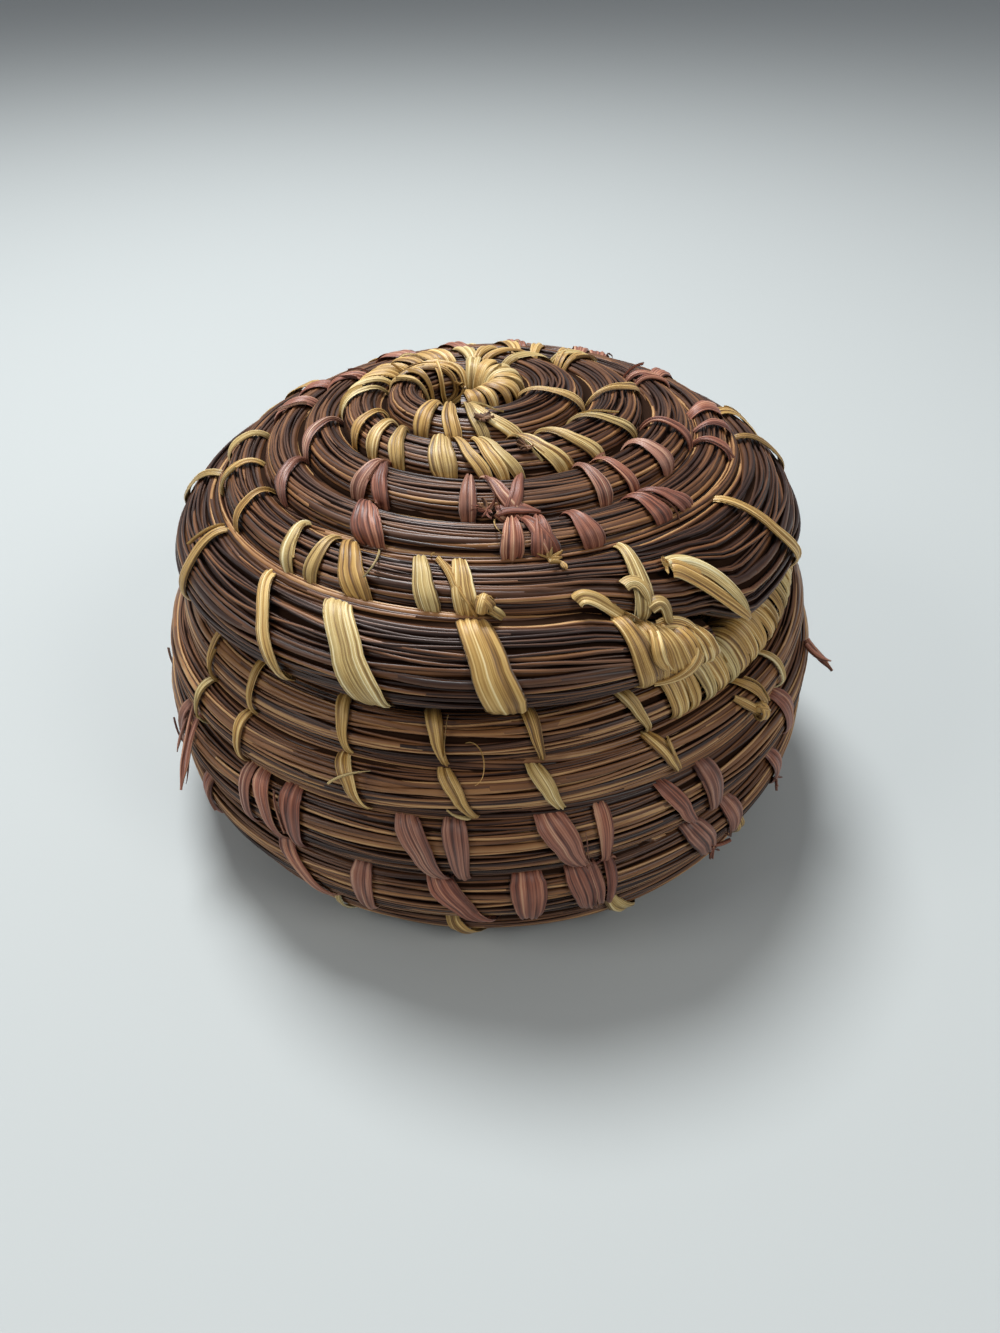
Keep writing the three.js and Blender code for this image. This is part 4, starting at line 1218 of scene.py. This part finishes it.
def sew(name, rule, stitches, body, node, slot, lift=STITCH_LIFT, columns=RAFFIA_COLUMNS):
    strips = [stitch_line(rule, stitch, lift + LIFT_STEP * (i % LIFT_LEVELS))
              for i, stitch in enumerate(stitches)]
    fibres = [loose_fibre(strip) for strip in strips[::FIBRE_EVERY]]
    lay_ribbons(name, strips + fibres, body, node, slot, columns)


# %% [markdown]
# The wall of the basket is sewn in five courses that can be seen. The upper two have tan stitches that
# slant down to the right. The belly has rose stitches, many in pairs that meet in one hole at the bottom.
# The lowest course has thin tan ones. Behind, where the photograph shows nothing, they go on evenly.

# %% Stitches on the basket's wall
PLACE_SPREAD = 3


def round_the_back(course, azimuths, width, lean, radius):
    stitches = []
    for azimuth in azimuths:
        place = azimuth + chance.uniform(-PLACE_SPREAD, PLACE_SPREAD)
        own_width = width * chance.uniform(0.75, 1.2)
        own_lean = lean * chance.uniform(0.5, 1.3)
        pinch = chance.uniform(0.55, 0.8)
        stitches.append(plain_stitch(course, place, own_width, own_lean, radius, pinch))
    return stitches


TAN_PINCH = 0.45
ROSE_PINCH = 0.5
WALL_SLANT = -4.5


def wall_stitches(course, seen, hidden, width, radius, pinch):
    stitches = [seen_stitch(BASKET_RULE, course, low, high, size, pinch) for high, low, size in seen]
    return stitches + round_the_back(course, hidden, width, WALL_SLANT, radius)


RIM_TAN_SEEN = [
    ((205, 648), (207, 690), 11), ((251, 682), (257, 716), 12), ((343, 703), (354, 738), 15),
    ((433, 716), (449, 752), 17), ((525, 714), (542, 752), 16), ((618, 708), (655, 746), 16)]
rim_tan = wall_stitches(10, RIM_TAN_SEEN, (-245, -218, -192), width=4, radius=52, pinch=TAN_PINCH)
UPPER_TAN_SEEN = [
    ((200, 690), (210, 722), 11), ((247, 714), (258, 750), 13), ((345, 745), (371, 795), 17),
    ((441, 752), (480, 813), 18), ((533, 756), (563, 801), 19), ((645, 738), (684, 781), 17),
    ((745, 690), (783, 722), 13), ((782, 668), (800, 700), 11)]
UPPER_TAN_HIDDEN = (-240, -212, -185, 15, 45, 75)
upper_tan = wall_stitches(9, UPPER_TAN_SEEN, UPPER_TAN_HIDDEN, width=4, radius=57, pinch=TAN_PINCH)
UPPER_ROSE_SEEN = [
    ((192, 700), (200, 752), 16), ((256, 755), (272, 806), 16), ((273, 756), (291, 838), 22),
    ((301, 768), (307, 842), 28), ((409, 795), (449, 866), 28), ((455, 802), (465, 866), 27),
    ((545, 800), (583, 856), 34), ((597, 786), (602, 848), 18), ((652, 772), (691, 812), 19),
    ((697, 754), (708, 808), 26), ((785, 700), (797, 740), 22)]
UPPER_ROSE_HIDDEN = (-240, -232, -206, -198, -175, 4, 12, 38, 62, 70)
upper_rose = wall_stitches(8, UPPER_ROSE_SEEN, UPPER_ROSE_HIDDEN, width=5, radius=60, pinch=ROSE_PINCH)
LOWER_ROSE_SEEN = [
    ((216, 768), (232, 812), 18), ((286, 832), (346, 886), 20), ((364, 855), (377, 895), 24),
    ((433, 868), (493, 908), 28), ((525, 864), (526, 906), 38), ((570, 862), (586, 899), 27),
    ((592, 856), (596, 890), 13), ((608, 850), (606, 906), 13), ((688, 820), (708, 850), 30),
    ((724, 797), (730, 834), 24), ((770, 752), (776, 790), 20)]
LOWER_ROSE_HIDDEN = (-238, -214, -206, -180, -2, 8, 34, 60)
lower_rose = wall_stitches(7, LOWER_ROSE_SEEN, LOWER_ROSE_HIDDEN, width=5.5, radius=59, pinch=ROSE_PINCH)
BOTTOM_TAN_SEEN = [
    ((340, 888), (369, 920), 9), ((452, 910), (501, 934), 17), ((612, 908), (646, 912), 18)]
BOTTOM_TAN_HIDDEN = (-40, -12, 20, 50, 78, 100)
bottom_tan = wall_stitches(6, BOTTOM_TAN_SEEN, BOTTOM_TAN_HIDDEN, width=3.5, radius=56, pinch=TAN_PINCH)
sew("raffia_rim_tan", BASKET_RULE, rim_tan, "basket", "wall_strand_rim_tan", "tan_raffia")
sew("raffia_upper_tan", BASKET_RULE, upper_tan, "basket", "wall_strand_upper_tan", "tan_raffia")
sew("raffia_upper_rose", BASKET_RULE, upper_rose, "basket", "wall_strand_upper_rose", "rose_raffia")
sew("raffia_lower_rose", BASKET_RULE, lower_rose, "basket", "wall_strand_lower_rose", "rose_raffia")
sew("raffia_bottom_tan", BASKET_RULE, bottom_tan, "basket", "wall_strand_bottom_tan", "tan_raffia")

# %% [markdown]
# The base isn't seen in the photograph. Coiled bases are sewn in regular rings of stitches, so it gets
# them at even steps, and a tight wrap round the first small turn.

# %% Stitches on the base
THIN_COLUMNS = 16
LEAST_BASE_RADIUS = 6


def even_azimuths(start, end, count):
    return [start + (end - start) * (i + 0.5) / count for i in range(count)]


def course_radius(rule, course, least):
    return max(float(coil_at(rule, course)["radius"][0]), least)


def even_stitches(course, count, width, lean, start=-270, end=90):
    radius = course_radius(BASKET_RULE, course, LEAST_BASE_RADIUS)
    return [plain_stitch(course, azimuth + chance.uniform(-2, 2), width * chance.uniform(0.85, 1.15),
                         lean, radius) for azimuth in even_azimuths(start, end, count)]


base_start = even_stitches(0, count=8, width=2.6, lean=0.5, start=-86)
sew("raffia_base_start", BASKET_RULE, base_start, "basket", "basket_start_wrap", "tan_raffia",
    columns=THIN_COLUMNS)
BASE_STITCH_COUNTS = {1: 11, 2: 12, 3: 13, 4: 14}
for course, count in BASE_STITCH_COUNTS.items():
    ring = even_stitches(course, count, width=3.6, lean=2.5)
    sew(f"raffia_base_{course}", BASKET_RULE, ring, "basket", f"base_strand_{course}", "tan_raffia",
        columns=THIN_COLUMNS)

# %% [markdown]
# The stitches of the lid fan out from the middle. Those of the two inner courses are tan and lie close
# together, the next two are rose, and the outer two are tan again, with a few broad ones on the rim.

# %% Stitches on the lid
LID_PINCH = 0.42
LID_SLANT = 4


def lid_stitches(course, seen, hidden, width, radius, pinch=LID_PINCH):
    stitches = [seen_stitch(LID_RULE, course, inner, outer, size, pinch) for inner, outer, size in seen]
    return stitches + round_the_back(course, hidden, width, LID_SLANT, radius)


LID_ONE_SEEN = [
    ((441, 411), (419, 440), 20), ((451, 416), (455, 444), 18), ((465, 419), (487, 437), 13),
    ((462, 410), (519, 421), 15), ((474, 388), (542, 399), 18), ((528, 412), (585, 410), 15),
    ((500, 372), (545, 385), 16), ((480, 370), (530, 362), 16), ((470, 366), (500, 350), 15),
    ((455, 366), (468, 345), 15), ((438, 370), (436, 350), 15), ((425, 380), (400, 362), 15),
    ((420, 390), (385, 380), 15)]
lid_one = lid_stitches(1, LID_ONE_SEEN, (), width=3, radius=14)
LID_TWO_SEEN = [
    ((408, 429), (395, 474), 18), ((394, 430), (369, 462), 17), ((387, 417), (351, 447), 16),
    ((389, 394), (342, 415), 14), ((387, 376), (345, 401), 13), ((440, 445), (447, 480), 29),
    ((452, 446), (488, 472), 15), ((472, 441), (506, 475), 15), ((476, 438), (519, 456), 13),
    ((513, 457), (572, 488), 22), ((538, 446), (607, 470), 17), ((505, 431), (566, 440), 15),
    ((569, 423), (627, 428), 15), ((579, 398), (624, 405), 15), ((543, 385), (588, 389), 15),
    ((565, 364), (592, 361), 13)]
LID_TWO_HIDDEN = (-262, -250, -238, -226, -214, -202, 52, 66, 80)
lid_two = lid_stitches(2, LID_TWO_SEEN, LID_TWO_HIDDEN, width=3.6, radius=22)
LID_THREE_SEEN = [
    ((386, 467), (352, 505), 22), ((387, 467), (382, 513), 19), ((470, 481), (469, 526), 19),
    ((481, 479), (521, 500), 17), ((524, 500), (508, 528), 16), ((578, 486), (613, 531), 19),
    ((600, 488), (643, 506), 15), ((623, 440), (668, 472), 26), ((675, 441), (705, 456), 16),
    ((620, 389), (655, 404), 18), ((640, 378), (668, 390), 14), ((347, 422), (322, 450), 18),
    ((362, 377), (335, 388), 15)]
lid_three = lid_stitches(3, LID_THREE_SEEN, (-262, -236, -210, 58, 80), width=4.5, radius=31)
LID_FOUR_SEEN = [
    ((368, 505), (370, 560), 36), ((286, 472), (280, 505), 20), ((510, 519), (512, 560), 25),
    ((519, 520), (557, 557), 20), ((540, 568), (549, 608), 24), ((572, 560), (604, 592), 26),
    ((632, 519), (680, 560), 24), ((641, 510), (701, 528), 20), ((684, 432), (706, 446), 18),
    ((700, 446), (722, 462), 18)]
lid_four = lid_stitches(4, LID_FOUR_SEEN, (-240, -205, -192, 10, 34, 58, 78), width=5, radius=39)
LID_FIVE_SEEN = [
    ((297, 540), (282, 592), 18), ((332, 556), (313, 578), 18), ((346, 556), (362, 614), 30),
    ((418, 560), (431, 620), 24), ((436, 562), (480, 615), 13), ((460, 560), (472, 596), 26),
    ((631, 585), (645, 609), 22), ((250, 505), (226, 540), 16), ((262, 432), (222, 456), 14),
    ((245, 464), (205, 490), 16), ((708, 492), (748, 485), 14), ((725, 440), (762, 455), 14)]
LID_FIVE_HIDDEN = (-262, -240, -214, 20, 44, 68)
lid_five = lid_stitches(5, LID_FIVE_SEEN, LID_FIVE_HIDDEN, width=4.6, radius=48, pinch=0.6)
LID_RIM_SEEN = [
    ((268, 574), (291, 684), 19), ((336, 603), (386, 708), 38),
    ((470, 620), (513, 711), 43), ((218, 532), (196, 590), 17), ((215, 470), (184, 500), 14)]
lid_rim = lid_stitches(6, LID_RIM_SEEN, (-262, -236, -210), width=5, radius=55, pinch=0.8)
sew("raffia_lid_1", LID_RULE, lid_one, "lid", "lid_strand_1_tan", "tan_raffia")
sew("raffia_lid_2", LID_RULE, lid_two, "lid", "lid_strand_2_tan", "tan_raffia")
sew("raffia_lid_3", LID_RULE, lid_three, "lid", "lid_strand_3_rose", "rose_raffia")
sew("raffia_lid_4", LID_RULE, lid_four, "lid", "lid_strand_4_rose", "rose_raffia")
sew("raffia_lid_5", LID_RULE, lid_five, "lid", "lid_strand_5_tan", "tan_raffia")
sew("raffia_lid_rim", LID_RULE, lid_rim, "lid", "lid_strand_rim_tan", "tan_raffia")

# %% [markdown]
# Where a coil begins and where it ends, the raffia is wound close, turn beside turn, to hold the needles'
# ends. The windings differ a little in width and slant and overlap their neighbours.

# %% Close windings at the ends
LEAST_WINDING_RADIUS = 7


def close_winding(rule, course, start, end, count, width, lean):
    radius = course_radius(rule, course, LEAST_WINDING_RADIUS)
    stitches = []
    for azimuth in even_azimuths(start, end, count):
        own_width = width * chance.uniform(0.8, 1.2)
        own_lean = lean * chance.uniform(0.4, 1.4)
        pinch = chance.uniform(0.6, 0.9)
        stitches.append(plain_stitch(course, azimuth, own_width, own_lean, radius, pinch))
    return stitches


lid_start = close_winding(LID_RULE, 0, start=-80, end=90, count=9, width=2.8, lean=0.6)
sew("raffia_lid_start", LID_RULE, lid_start, "lid", "lid_start_wrap", "tan_raffia", columns=THIN_COLUMNS)
lid_end = close_winding(LID_RULE, 6, start=-68, end=-53, count=5, width=3.6, lean=2.2)
sew("raffia_lid_end", LID_RULE, lid_end, "lid", "lid_end_wrap", "tan_raffia", lift=0.3)
basket_end = close_winding(BASKET_RULE, 10, start=-60, end=-4, count=18, width=3.8, lean=-2.0)
sew("raffia_basket_end", BASKET_RULE, basket_end, "basket", "basket_end_wrap", "tan_raffia", lift=0.25)
ring_turns = close_winding(RING_RULE, 0, start=-80, end=80, count=8, width=3, lean=1.5)
ring_turns += close_winding(RING_RULE, 1, start=-268, end=80, count=14, width=3, lean=1.5)
sew("raffia_ring", RING_RULE, ring_turns, "lid", "lid_ring_strand", "tan_raffia", columns=THIN_COLUMNS)

# %% [markdown]
# Knots, cut ends and single fibres are what a hand has left behind. Each starts on the basket's surface
# under a picture point: of all points on the outer side of its course, the one that the camera sees
# nearest to it.

# %% Points on the surface
SURFACE_TURNS = 300
SURFACE_PHASES = 25
FIRST_PHASE = 0.02 * math.pi
LAST_PHASE = 0.98 * math.pi
SURFACE_POWER = 0.8
SURFACE_LIFT = 0.3


def surface_under(rule, course, pixel, lift=SURFACE_LIFT):
    turns = turns_of(rule, course, SURFACE_TURNS)
    coil = coil_at(rule, turns)
    rows = []
    for phase in np.linspace(FIRST_PHASE, LAST_PHASE, SURFACE_PHASES):
        x = -np.cos(phase) * coil["half_width"]
        y = np.sin(phase) ** SURFACE_POWER * coil["half_thickness"] + lift
        beside = coil["along"] * x[:, None] + coil["across"] * y[:, None]
        rows.append(coil["centre"] + beside + rule["shift"])
    points = np.concatenate(rows)
    seen, depth = picture_points(points)
    best = int(np.argmin(np.linalg.norm(seen - np.array(pixel), axis=1)))
    row = best % len(turns)
    return points[best], coil["across"][row], float(depth[best])


def point_at(pixel, depth):
    x = (pixel[0] - PICTURE_WIDTH / 2 + AXIS_SHIFT * PICTURE_HEIGHT) / FOCAL_PIXELS
    y = (PICTURE_HEIGHT / 2 - pixel[1]) / FOCAL_PIXELS
    return camera_place + camera_turn @ (np.array([x, y, -1.0]) * depth)


# %% [markdown]
# A free strip is a smooth line through a few such points, with a narrow ribbon along it that thins
# towards its end. It either lies on its course all the way, or it leaves the wall and goes on through
# points that are a little nearer to the camera each time.

# %% Free strips
RIBBON_STEPS = 24
HIGHEST_ORDER = 3
END_SHARE = 0.3
TAPER_START = 0.6
LAID_LIFT = 0.35
NEARER_STEP = 0.4


def smooth_line(points, count):
    points = np.array(points, float)
    place = np.linspace(0, 1, len(points))
    order = min(HIGHEST_ORDER, len(points) - 1)
    fine = np.linspace(0, 1, count)
    return np.stack([np.polyval(np.polyfit(place, points[:, i], order), fine) for i in range(3)], axis=1)


def free_ribbon(points, face, width, count=RIBBON_STEPS, end_share=END_SHARE):
    line = smooth_line(points, count)
    walk = unit(np.gradient(line, axis=0))
    widthwise = unit(np.cross(np.broadcast_to(face, line.shape), walk))
    outward = np.cross(walk, widthwise)
    taper = 1 - (1 - end_share) * smooth_step(np.linspace(0, 1, count), TAPER_START, 1)
    return ribbon_strip(line, widthwise, outward, width / 2 * taper)


def laid_fibre(rule, course, pixels, width, lift=LAID_LIFT):
    found = [surface_under(rule, course, pixel, lift) for pixel in pixels]
    faces = smooth_line([face for _, face, _ in found], RIBBON_STEPS)
    return free_ribbon([point for point, _, _ in found], faces, width)


def end_beside(rule, course, pixels, width, face_turn=0.0, nearer=NEARER_STEP):
    start, _, depth = surface_under(rule, course, pixels[0])
    points = [start] + [point_at(pixel, depth - nearer * i) for i, pixel in enumerate(pixels[1:], 1)]
    side = camera_turn[:, 0] * math.sin(face_turn) + camera_turn[:, 2] * math.cos(face_turn)
    return free_ribbon(points, side, width)


# %% [markdown]
# A knot is two turns of a narrow strip, one across the other, with two short tails that run down to the
# surface. A tuft is a handful of short fibres that stand off in all directions.

# %% Knots and tufts
KNOT_TURNS = ((0.0, 0.0), (1.1, 0.5))
KNOT_ANGLES = np.linspace(-0.4, 2 * math.pi + 0.3, 30)
KNOT_RISE = 0.75
KNOT_FLATNESS = 0.8
KNOT_PITCH = 0.5 / 6
KNOT_BACK = 0.25
KNOT_LIFT = 0.5
CROSSED_TURN_THINNER = 0.25
TAIL_START = 0.5
TAIL_RISE = 0.7
TAIL_WIDTH_SHARE = 0.9
TAIL_END_SHARE = 0.7
TUFT_WIDTH = 0.35
TUFT_LIFT = 0.2
TUFT_STEPS = 10


def knot_turn(middle, face, axis, radius, shift, half_width):
    heart = middle + face * radius * KNOT_RISE
    line = heart + axis * (shift - KNOT_BACK + KNOT_PITCH * KNOT_ANGLES)[:, None]
    line = line + np.cross(face, axis) * (radius * np.cos(KNOT_ANGLES))[:, None]
    line = line + face * (KNOT_FLATNESS * radius * np.sin(KNOT_ANGLES))[:, None]
    walk = unit(np.gradient(line, axis=0))
    widthwise = unit(np.broadcast_to(axis, line.shape) - walk * (walk @ axis)[:, None])
    outward = np.cross(walk, widthwise)
    outward *= np.sign(np.sum(outward * (line - heart), axis=1))[:, None]
    return ribbon_strip(line, widthwise, outward, half_width)


def knot_tail(middle, face, end, radius, width):
    halfway = (middle + end) / 2 + face * TAIL_RISE
    line = [middle + face * radius * TAIL_START, halfway, end]
    return free_ribbon(line, face, width * TAIL_WIDTH_SHARE, end_share=TAIL_END_SHARE)


def knot(rule, course, pixel, radius, width, tails):
    middle, face, _ = surface_under(rule, course, pixel, KNOT_LIFT)
    first, _, _ = surface_under(rule, course, tails[0], KNOT_LIFT)
    along = first - middle
    along -= face * (along @ face)
    along /= np.linalg.norm(along)
    beside = np.cross(face, along)
    strips = []
    for turned, shift in KNOT_TURNS:
        axis = along * math.cos(turned) + beside * math.sin(turned)
        half_width = width / 2 * (1 - CROSSED_TURN_THINNER * turned)
        strips.append(knot_turn(middle, face, axis, radius, shift, half_width))
    for tail in tails:
        end, _, _ = surface_under(rule, course, tail, LAID_LIFT)
        strips.append(knot_tail(middle, face, end, radius, width))
    return strips


def tuft(rule, course, pixel, count, length, width=TUFT_WIDTH):
    middle, face, _ = surface_under(rule, course, pixel, TUFT_LIFT)
    strips = []
    for _ in range(count):
        aim = np.array([chance.uniform(-1, 1) for _ in range(3)])
        aim -= face * (aim @ face)
        aim = aim / np.linalg.norm(aim) + face * chance.uniform(0.1, 0.7)
        size = length * chance.uniform(0.5, 1.0)
        bend = np.cross(aim, face) * chance.uniform(-0.4, 0.4)
        own_width = width * chance.uniform(0.5, 1.2)
        line = [middle, middle + (aim + bend) * size / 2, middle + aim * size]
        strips.append(free_ribbon(line, face, own_width, count=TUFT_STEPS))
    return strips


# %% [markdown]
# The basket's knot closes a strand below the wrap at its rim. The lid's knot lies at the front, and two
# stitches to its right have frayed.

# %% The two knots
BASKET_KNOT = (757, 711)
BASKET_KNOT_TAILS = [(783, 724), (735, 698)]
BASKET_KNOT_END = [BASKET_KNOT, (768, 716), (782, 730)]
basket_knot = knot(BASKET_RULE, 9, BASKET_KNOT, radius=1.2, width=2.0, tails=BASKET_KNOT_TAILS)
basket_knot.append(laid_fibre(BASKET_RULE, 9, BASKET_KNOT_END, width=2.2))
lay_ribbons("basket_knot_raffia", basket_knot, "basket", "basket_knot", "tan_raffia", columns=20)
LID_KNOT = (484, 607)
LID_KNOT_TAILS = [(506, 619), (478, 613)]
LID_KNOT_END = [(486, 606), (495, 612), (508, 620)]
LID_FRAY_LEFT = (548, 556)
LID_FRAY_RIGHT = (563, 563)
lid_knot = knot(LID_RULE, 5, LID_KNOT, radius=1.15, width=2.0, tails=LID_KNOT_TAILS)
lid_knot.append(laid_fibre(LID_RULE, 5, LID_KNOT_END, width=1.9))
lid_knot += tuft(LID_RULE, 5, LID_FRAY_LEFT, count=7, length=2.6, width=0.9)
lid_knot += tuft(LID_RULE, 5, LID_FRAY_RIGHT, count=4, length=2.0, width=0.8)
lay_ribbons("lid_knot_raffia", lid_knot, "lid", "lid_knot", "tan_raffia", columns=20)

# %% [markdown]
# Where the lid's coil ends, a few strips cross the winding, and a broad double stitch lies to its right.
# Each is drawn along points of the picture and laid on its course, a little above the stitches there.

# %% Strips laid over the lid's end
SLANTED_STRIP = [(577, 600), (596, 599), (621, 616), (645, 636)]
LOOPED_STRIP = [(658, 626), (676, 619), (690, 624), (699, 642), (698, 663), (684, 684), (658, 692)]
CROSSING_STRIP = [(648, 622), (656, 640), (664, 660), (680, 682)]
FIRST_SHORT_STRIP = [(627, 585), (640, 583), (650, 593), (647, 607)]
SECOND_SHORT_STRIP = [(652, 607), (662, 606), (671, 617), (672, 634)]
crossed_strips = [
    laid_fibre(LID_RULE, 5, SLANTED_STRIP, width=2.6, lift=0.7),
    laid_fibre(LID_RULE, 5, FIRST_SHORT_STRIP, width=2.2, lift=0.7),
    laid_fibre(LID_RULE, 5, SECOND_SHORT_STRIP, width=2.4, lift=0.9),
    laid_fibre(LID_RULE, 6, CROSSING_STRIP, width=2.6, lift=0.9),
    laid_fibre(LID_RULE, 6, LOOPED_STRIP, width=2.6, lift=1.2)]
lay_ribbons("crossed_strips_lid", crossed_strips, "lid", "lid_end_wrap", "tan_raffia", columns=24)
BROAD_STITCH_UPPER = [(668, 564), (692, 561), (718, 575), (736, 596), (748, 612)]
BROAD_STITCH_LOWER = [(672, 568), (695, 578), (722, 594), (745, 612), (740, 632)]
BROAD_STITCH_KNOB = (667, 565)
broad_stitch = [
    laid_fibre(LID_RULE, 5, BROAD_STITCH_UPPER, width=2.6, lift=0.6),
    laid_fibre(LID_RULE, 5, BROAD_STITCH_LOWER, width=3.0, lift=0.9)]
broad_stitch += tuft(LID_RULE, 5, BROAD_STITCH_KNOB, count=5, length=1.6, width=1.0)
lay_ribbons("broad_stitch_lid", broad_stitch, "lid", "lid_strand_5_tan", "tan_raffia", columns=24)

# %% [markdown]
# Two ends of the rose strand stand off the wall. The right one is split in two, and the left one hangs
# down in four narrow strips.

# %% Loose ends of the rose raffia
RIGHT_END_UPPER = [(806, 640), (814, 650), (823, 660), (832, 671)]
RIGHT_END_LOWER = [(805, 643), (814, 653), (822, 658), (831, 661)]
right_end = [
    end_beside(BASKET_RULE, 8, RIGHT_END_UPPER, width=1.5, face_turn=0.2),
    end_beside(BASKET_RULE, 8, RIGHT_END_LOWER, width=1.1, face_turn=-0.3)]
lay_ribbons("loose_end_right_raffia", right_end, "basket", "loose_end_right", "rose_raffia", columns=16)
LEFT_END_MIDDLE = [(196, 704), (189, 735), (184, 765), (181, 790)]
LEFT_END_INNER = [(200, 712), (191, 740), (187, 762), (184, 778)]
LEFT_END_OUTER = [(193, 700), (184, 725), (179, 742), (177, 752)]
LEFT_END_THREAD = [(197, 730), (190, 752), (188, 770), (186, 784)]
left_end = [
    end_beside(BASKET_RULE, 8, LEFT_END_MIDDLE, width=1.5, face_turn=0.3),
    end_beside(BASKET_RULE, 8, LEFT_END_INNER, width=1.1, face_turn=-0.2),
    end_beside(BASKET_RULE, 8, LEFT_END_OUTER, width=0.6),
    end_beside(BASKET_RULE, 8, LEFT_END_THREAD, width=0.4)]
lay_ribbons("loose_end_left_raffia", left_end, "basket", "loose_end_left", "rose_raffia", columns=16)

# %% [markdown]
# On the wall, one long fibre curls free of the front, three lie across the courses, and cut or rubbed
# stitches fray.

# %% Stray fibres on the wall
CURL = [(449, 738), (466, 742), (482, 752), (483, 770), (475, 786)]
CROSSED_FIBRE = [(325, 784), (344, 774), (374, 771)]
LONG_FIBRE = [(553, 760), (573, 750), (597, 736)]
SHORT_FIBRE = [(667, 737), (671, 751), (676, 766)]
TAN_FRAY_UPPER = (702, 742)
TAN_FRAY_LOWER = (765, 770)
wall_fibres = [
    end_beside(BASKET_RULE, 9, CURL, width=0.2, nearer=2.8),
    laid_fibre(BASKET_RULE, 9, CROSSED_FIBRE, width=0.45, lift=0.9),
    laid_fibre(BASKET_RULE, 9, LONG_FIBRE, width=0.35, lift=0.6),
    laid_fibre(BASKET_RULE, 9, SHORT_FIBRE, width=0.6, lift=0.8)]
wall_fibres += tuft(BASKET_RULE, 8, TAN_FRAY_UPPER, count=7, length=2.2, width=0.7)
wall_fibres += tuft(BASKET_RULE, 7, TAN_FRAY_LOWER, count=5, length=1.8)
lay_ribbons("stray_fibres_basket", wall_fibres, "basket", "wall_strand_upper_tan", "tan_raffia",
            columns=12, pleat=0.12, wave=0.1)
ROSE_FRAY_MIDDLE = (716, 846)
ROSE_FRAY_RIGHT = (780, 780)
ROSE_FRAY_FRONT = (606, 855)
rose_frays = tuft(BASKET_RULE, 7, ROSE_FRAY_MIDDLE, count=8, length=3.5)
rose_frays += tuft(BASKET_RULE, 7, ROSE_FRAY_RIGHT, count=6, length=3.0)
rose_frays += tuft(BASKET_RULE, 7, ROSE_FRAY_FRONT, count=7, length=3.0, width=0.5)
lay_ribbons("rose_frays_basket", rose_frays, "basket", "wall_strand_lower_rose", "rose_raffia",
            columns=12)

# %% [markdown]
# The lid has a few single fibres, a tuft where the rose strand was begun, and the cut ends of needles
# near its middle.

# %% Stray fibres on the lid
LID_FIBRE_LEFT = [(381, 551), (374, 560), (364, 576)]
LID_FIBRE_MIDDLE = [(493, 522), (497, 527), (500, 534)]
LID_RIM_END = [(645, 622), (655, 618), (668, 620)]
CROWN_FRAY = (462, 392)
lid_fibres = [
    laid_fibre(LID_RULE, 5, LID_FIBRE_LEFT, width=0.3, lift=0.8),
    laid_fibre(LID_RULE, 4, LID_FIBRE_MIDDLE, width=0.3, lift=0.7),
    laid_fibre(LID_RULE, 6, LID_RIM_END, width=1.2, lift=0.9)]
lid_fibres += tuft(LID_RULE, 1, CROWN_FRAY, count=6, length=2.4, width=0.5)
lay_ribbons("stray_fibres_lid", lid_fibres, "lid", "lid_strand_5_tan", "tan_raffia", columns=12)
ROSE_TUFT = (489, 512)
ROSE_TUFT_ALONG = [(497, 513), (515, 507), (540, 512)]
ROSE_TUFT_DOWN = [(498, 512), (506, 520), (512, 528)]
rose_tuft = tuft(LID_RULE, 3, ROSE_TUFT, count=12, length=2.6)
rose_tuft.append(laid_fibre(LID_RULE, 3, ROSE_TUFT_ALONG, width=2.2, lift=0.6))
rose_tuft.append(laid_fibre(LID_RULE, 3, ROSE_TUFT_DOWN, width=2.0, lift=0.8))
lay_ribbons("rose_tuft_lid", rose_tuft, "lid", "lid_strand_3_rose", "rose_raffia", columns=16)
CUT_ENDS_INNER = (484, 420)
CUT_ENDS_MIDDLE = (525, 447)
cut_ends = tuft(LID_RULE, 1, CUT_ENDS_INNER, count=14, length=1.9, width=1.1)
cut_ends += tuft(LID_RULE, 2, CUT_ENDS_MIDDLE, count=12, length=1.9, width=1.0)
cut_ends += tuft(LID_RULE, 3, ROSE_TUFT, count=6, length=1.8, width=0.7)
lay_ribbons("cut_ends_lid", cut_ends, "lid", "lid_coil", "pine_needle", columns=12)
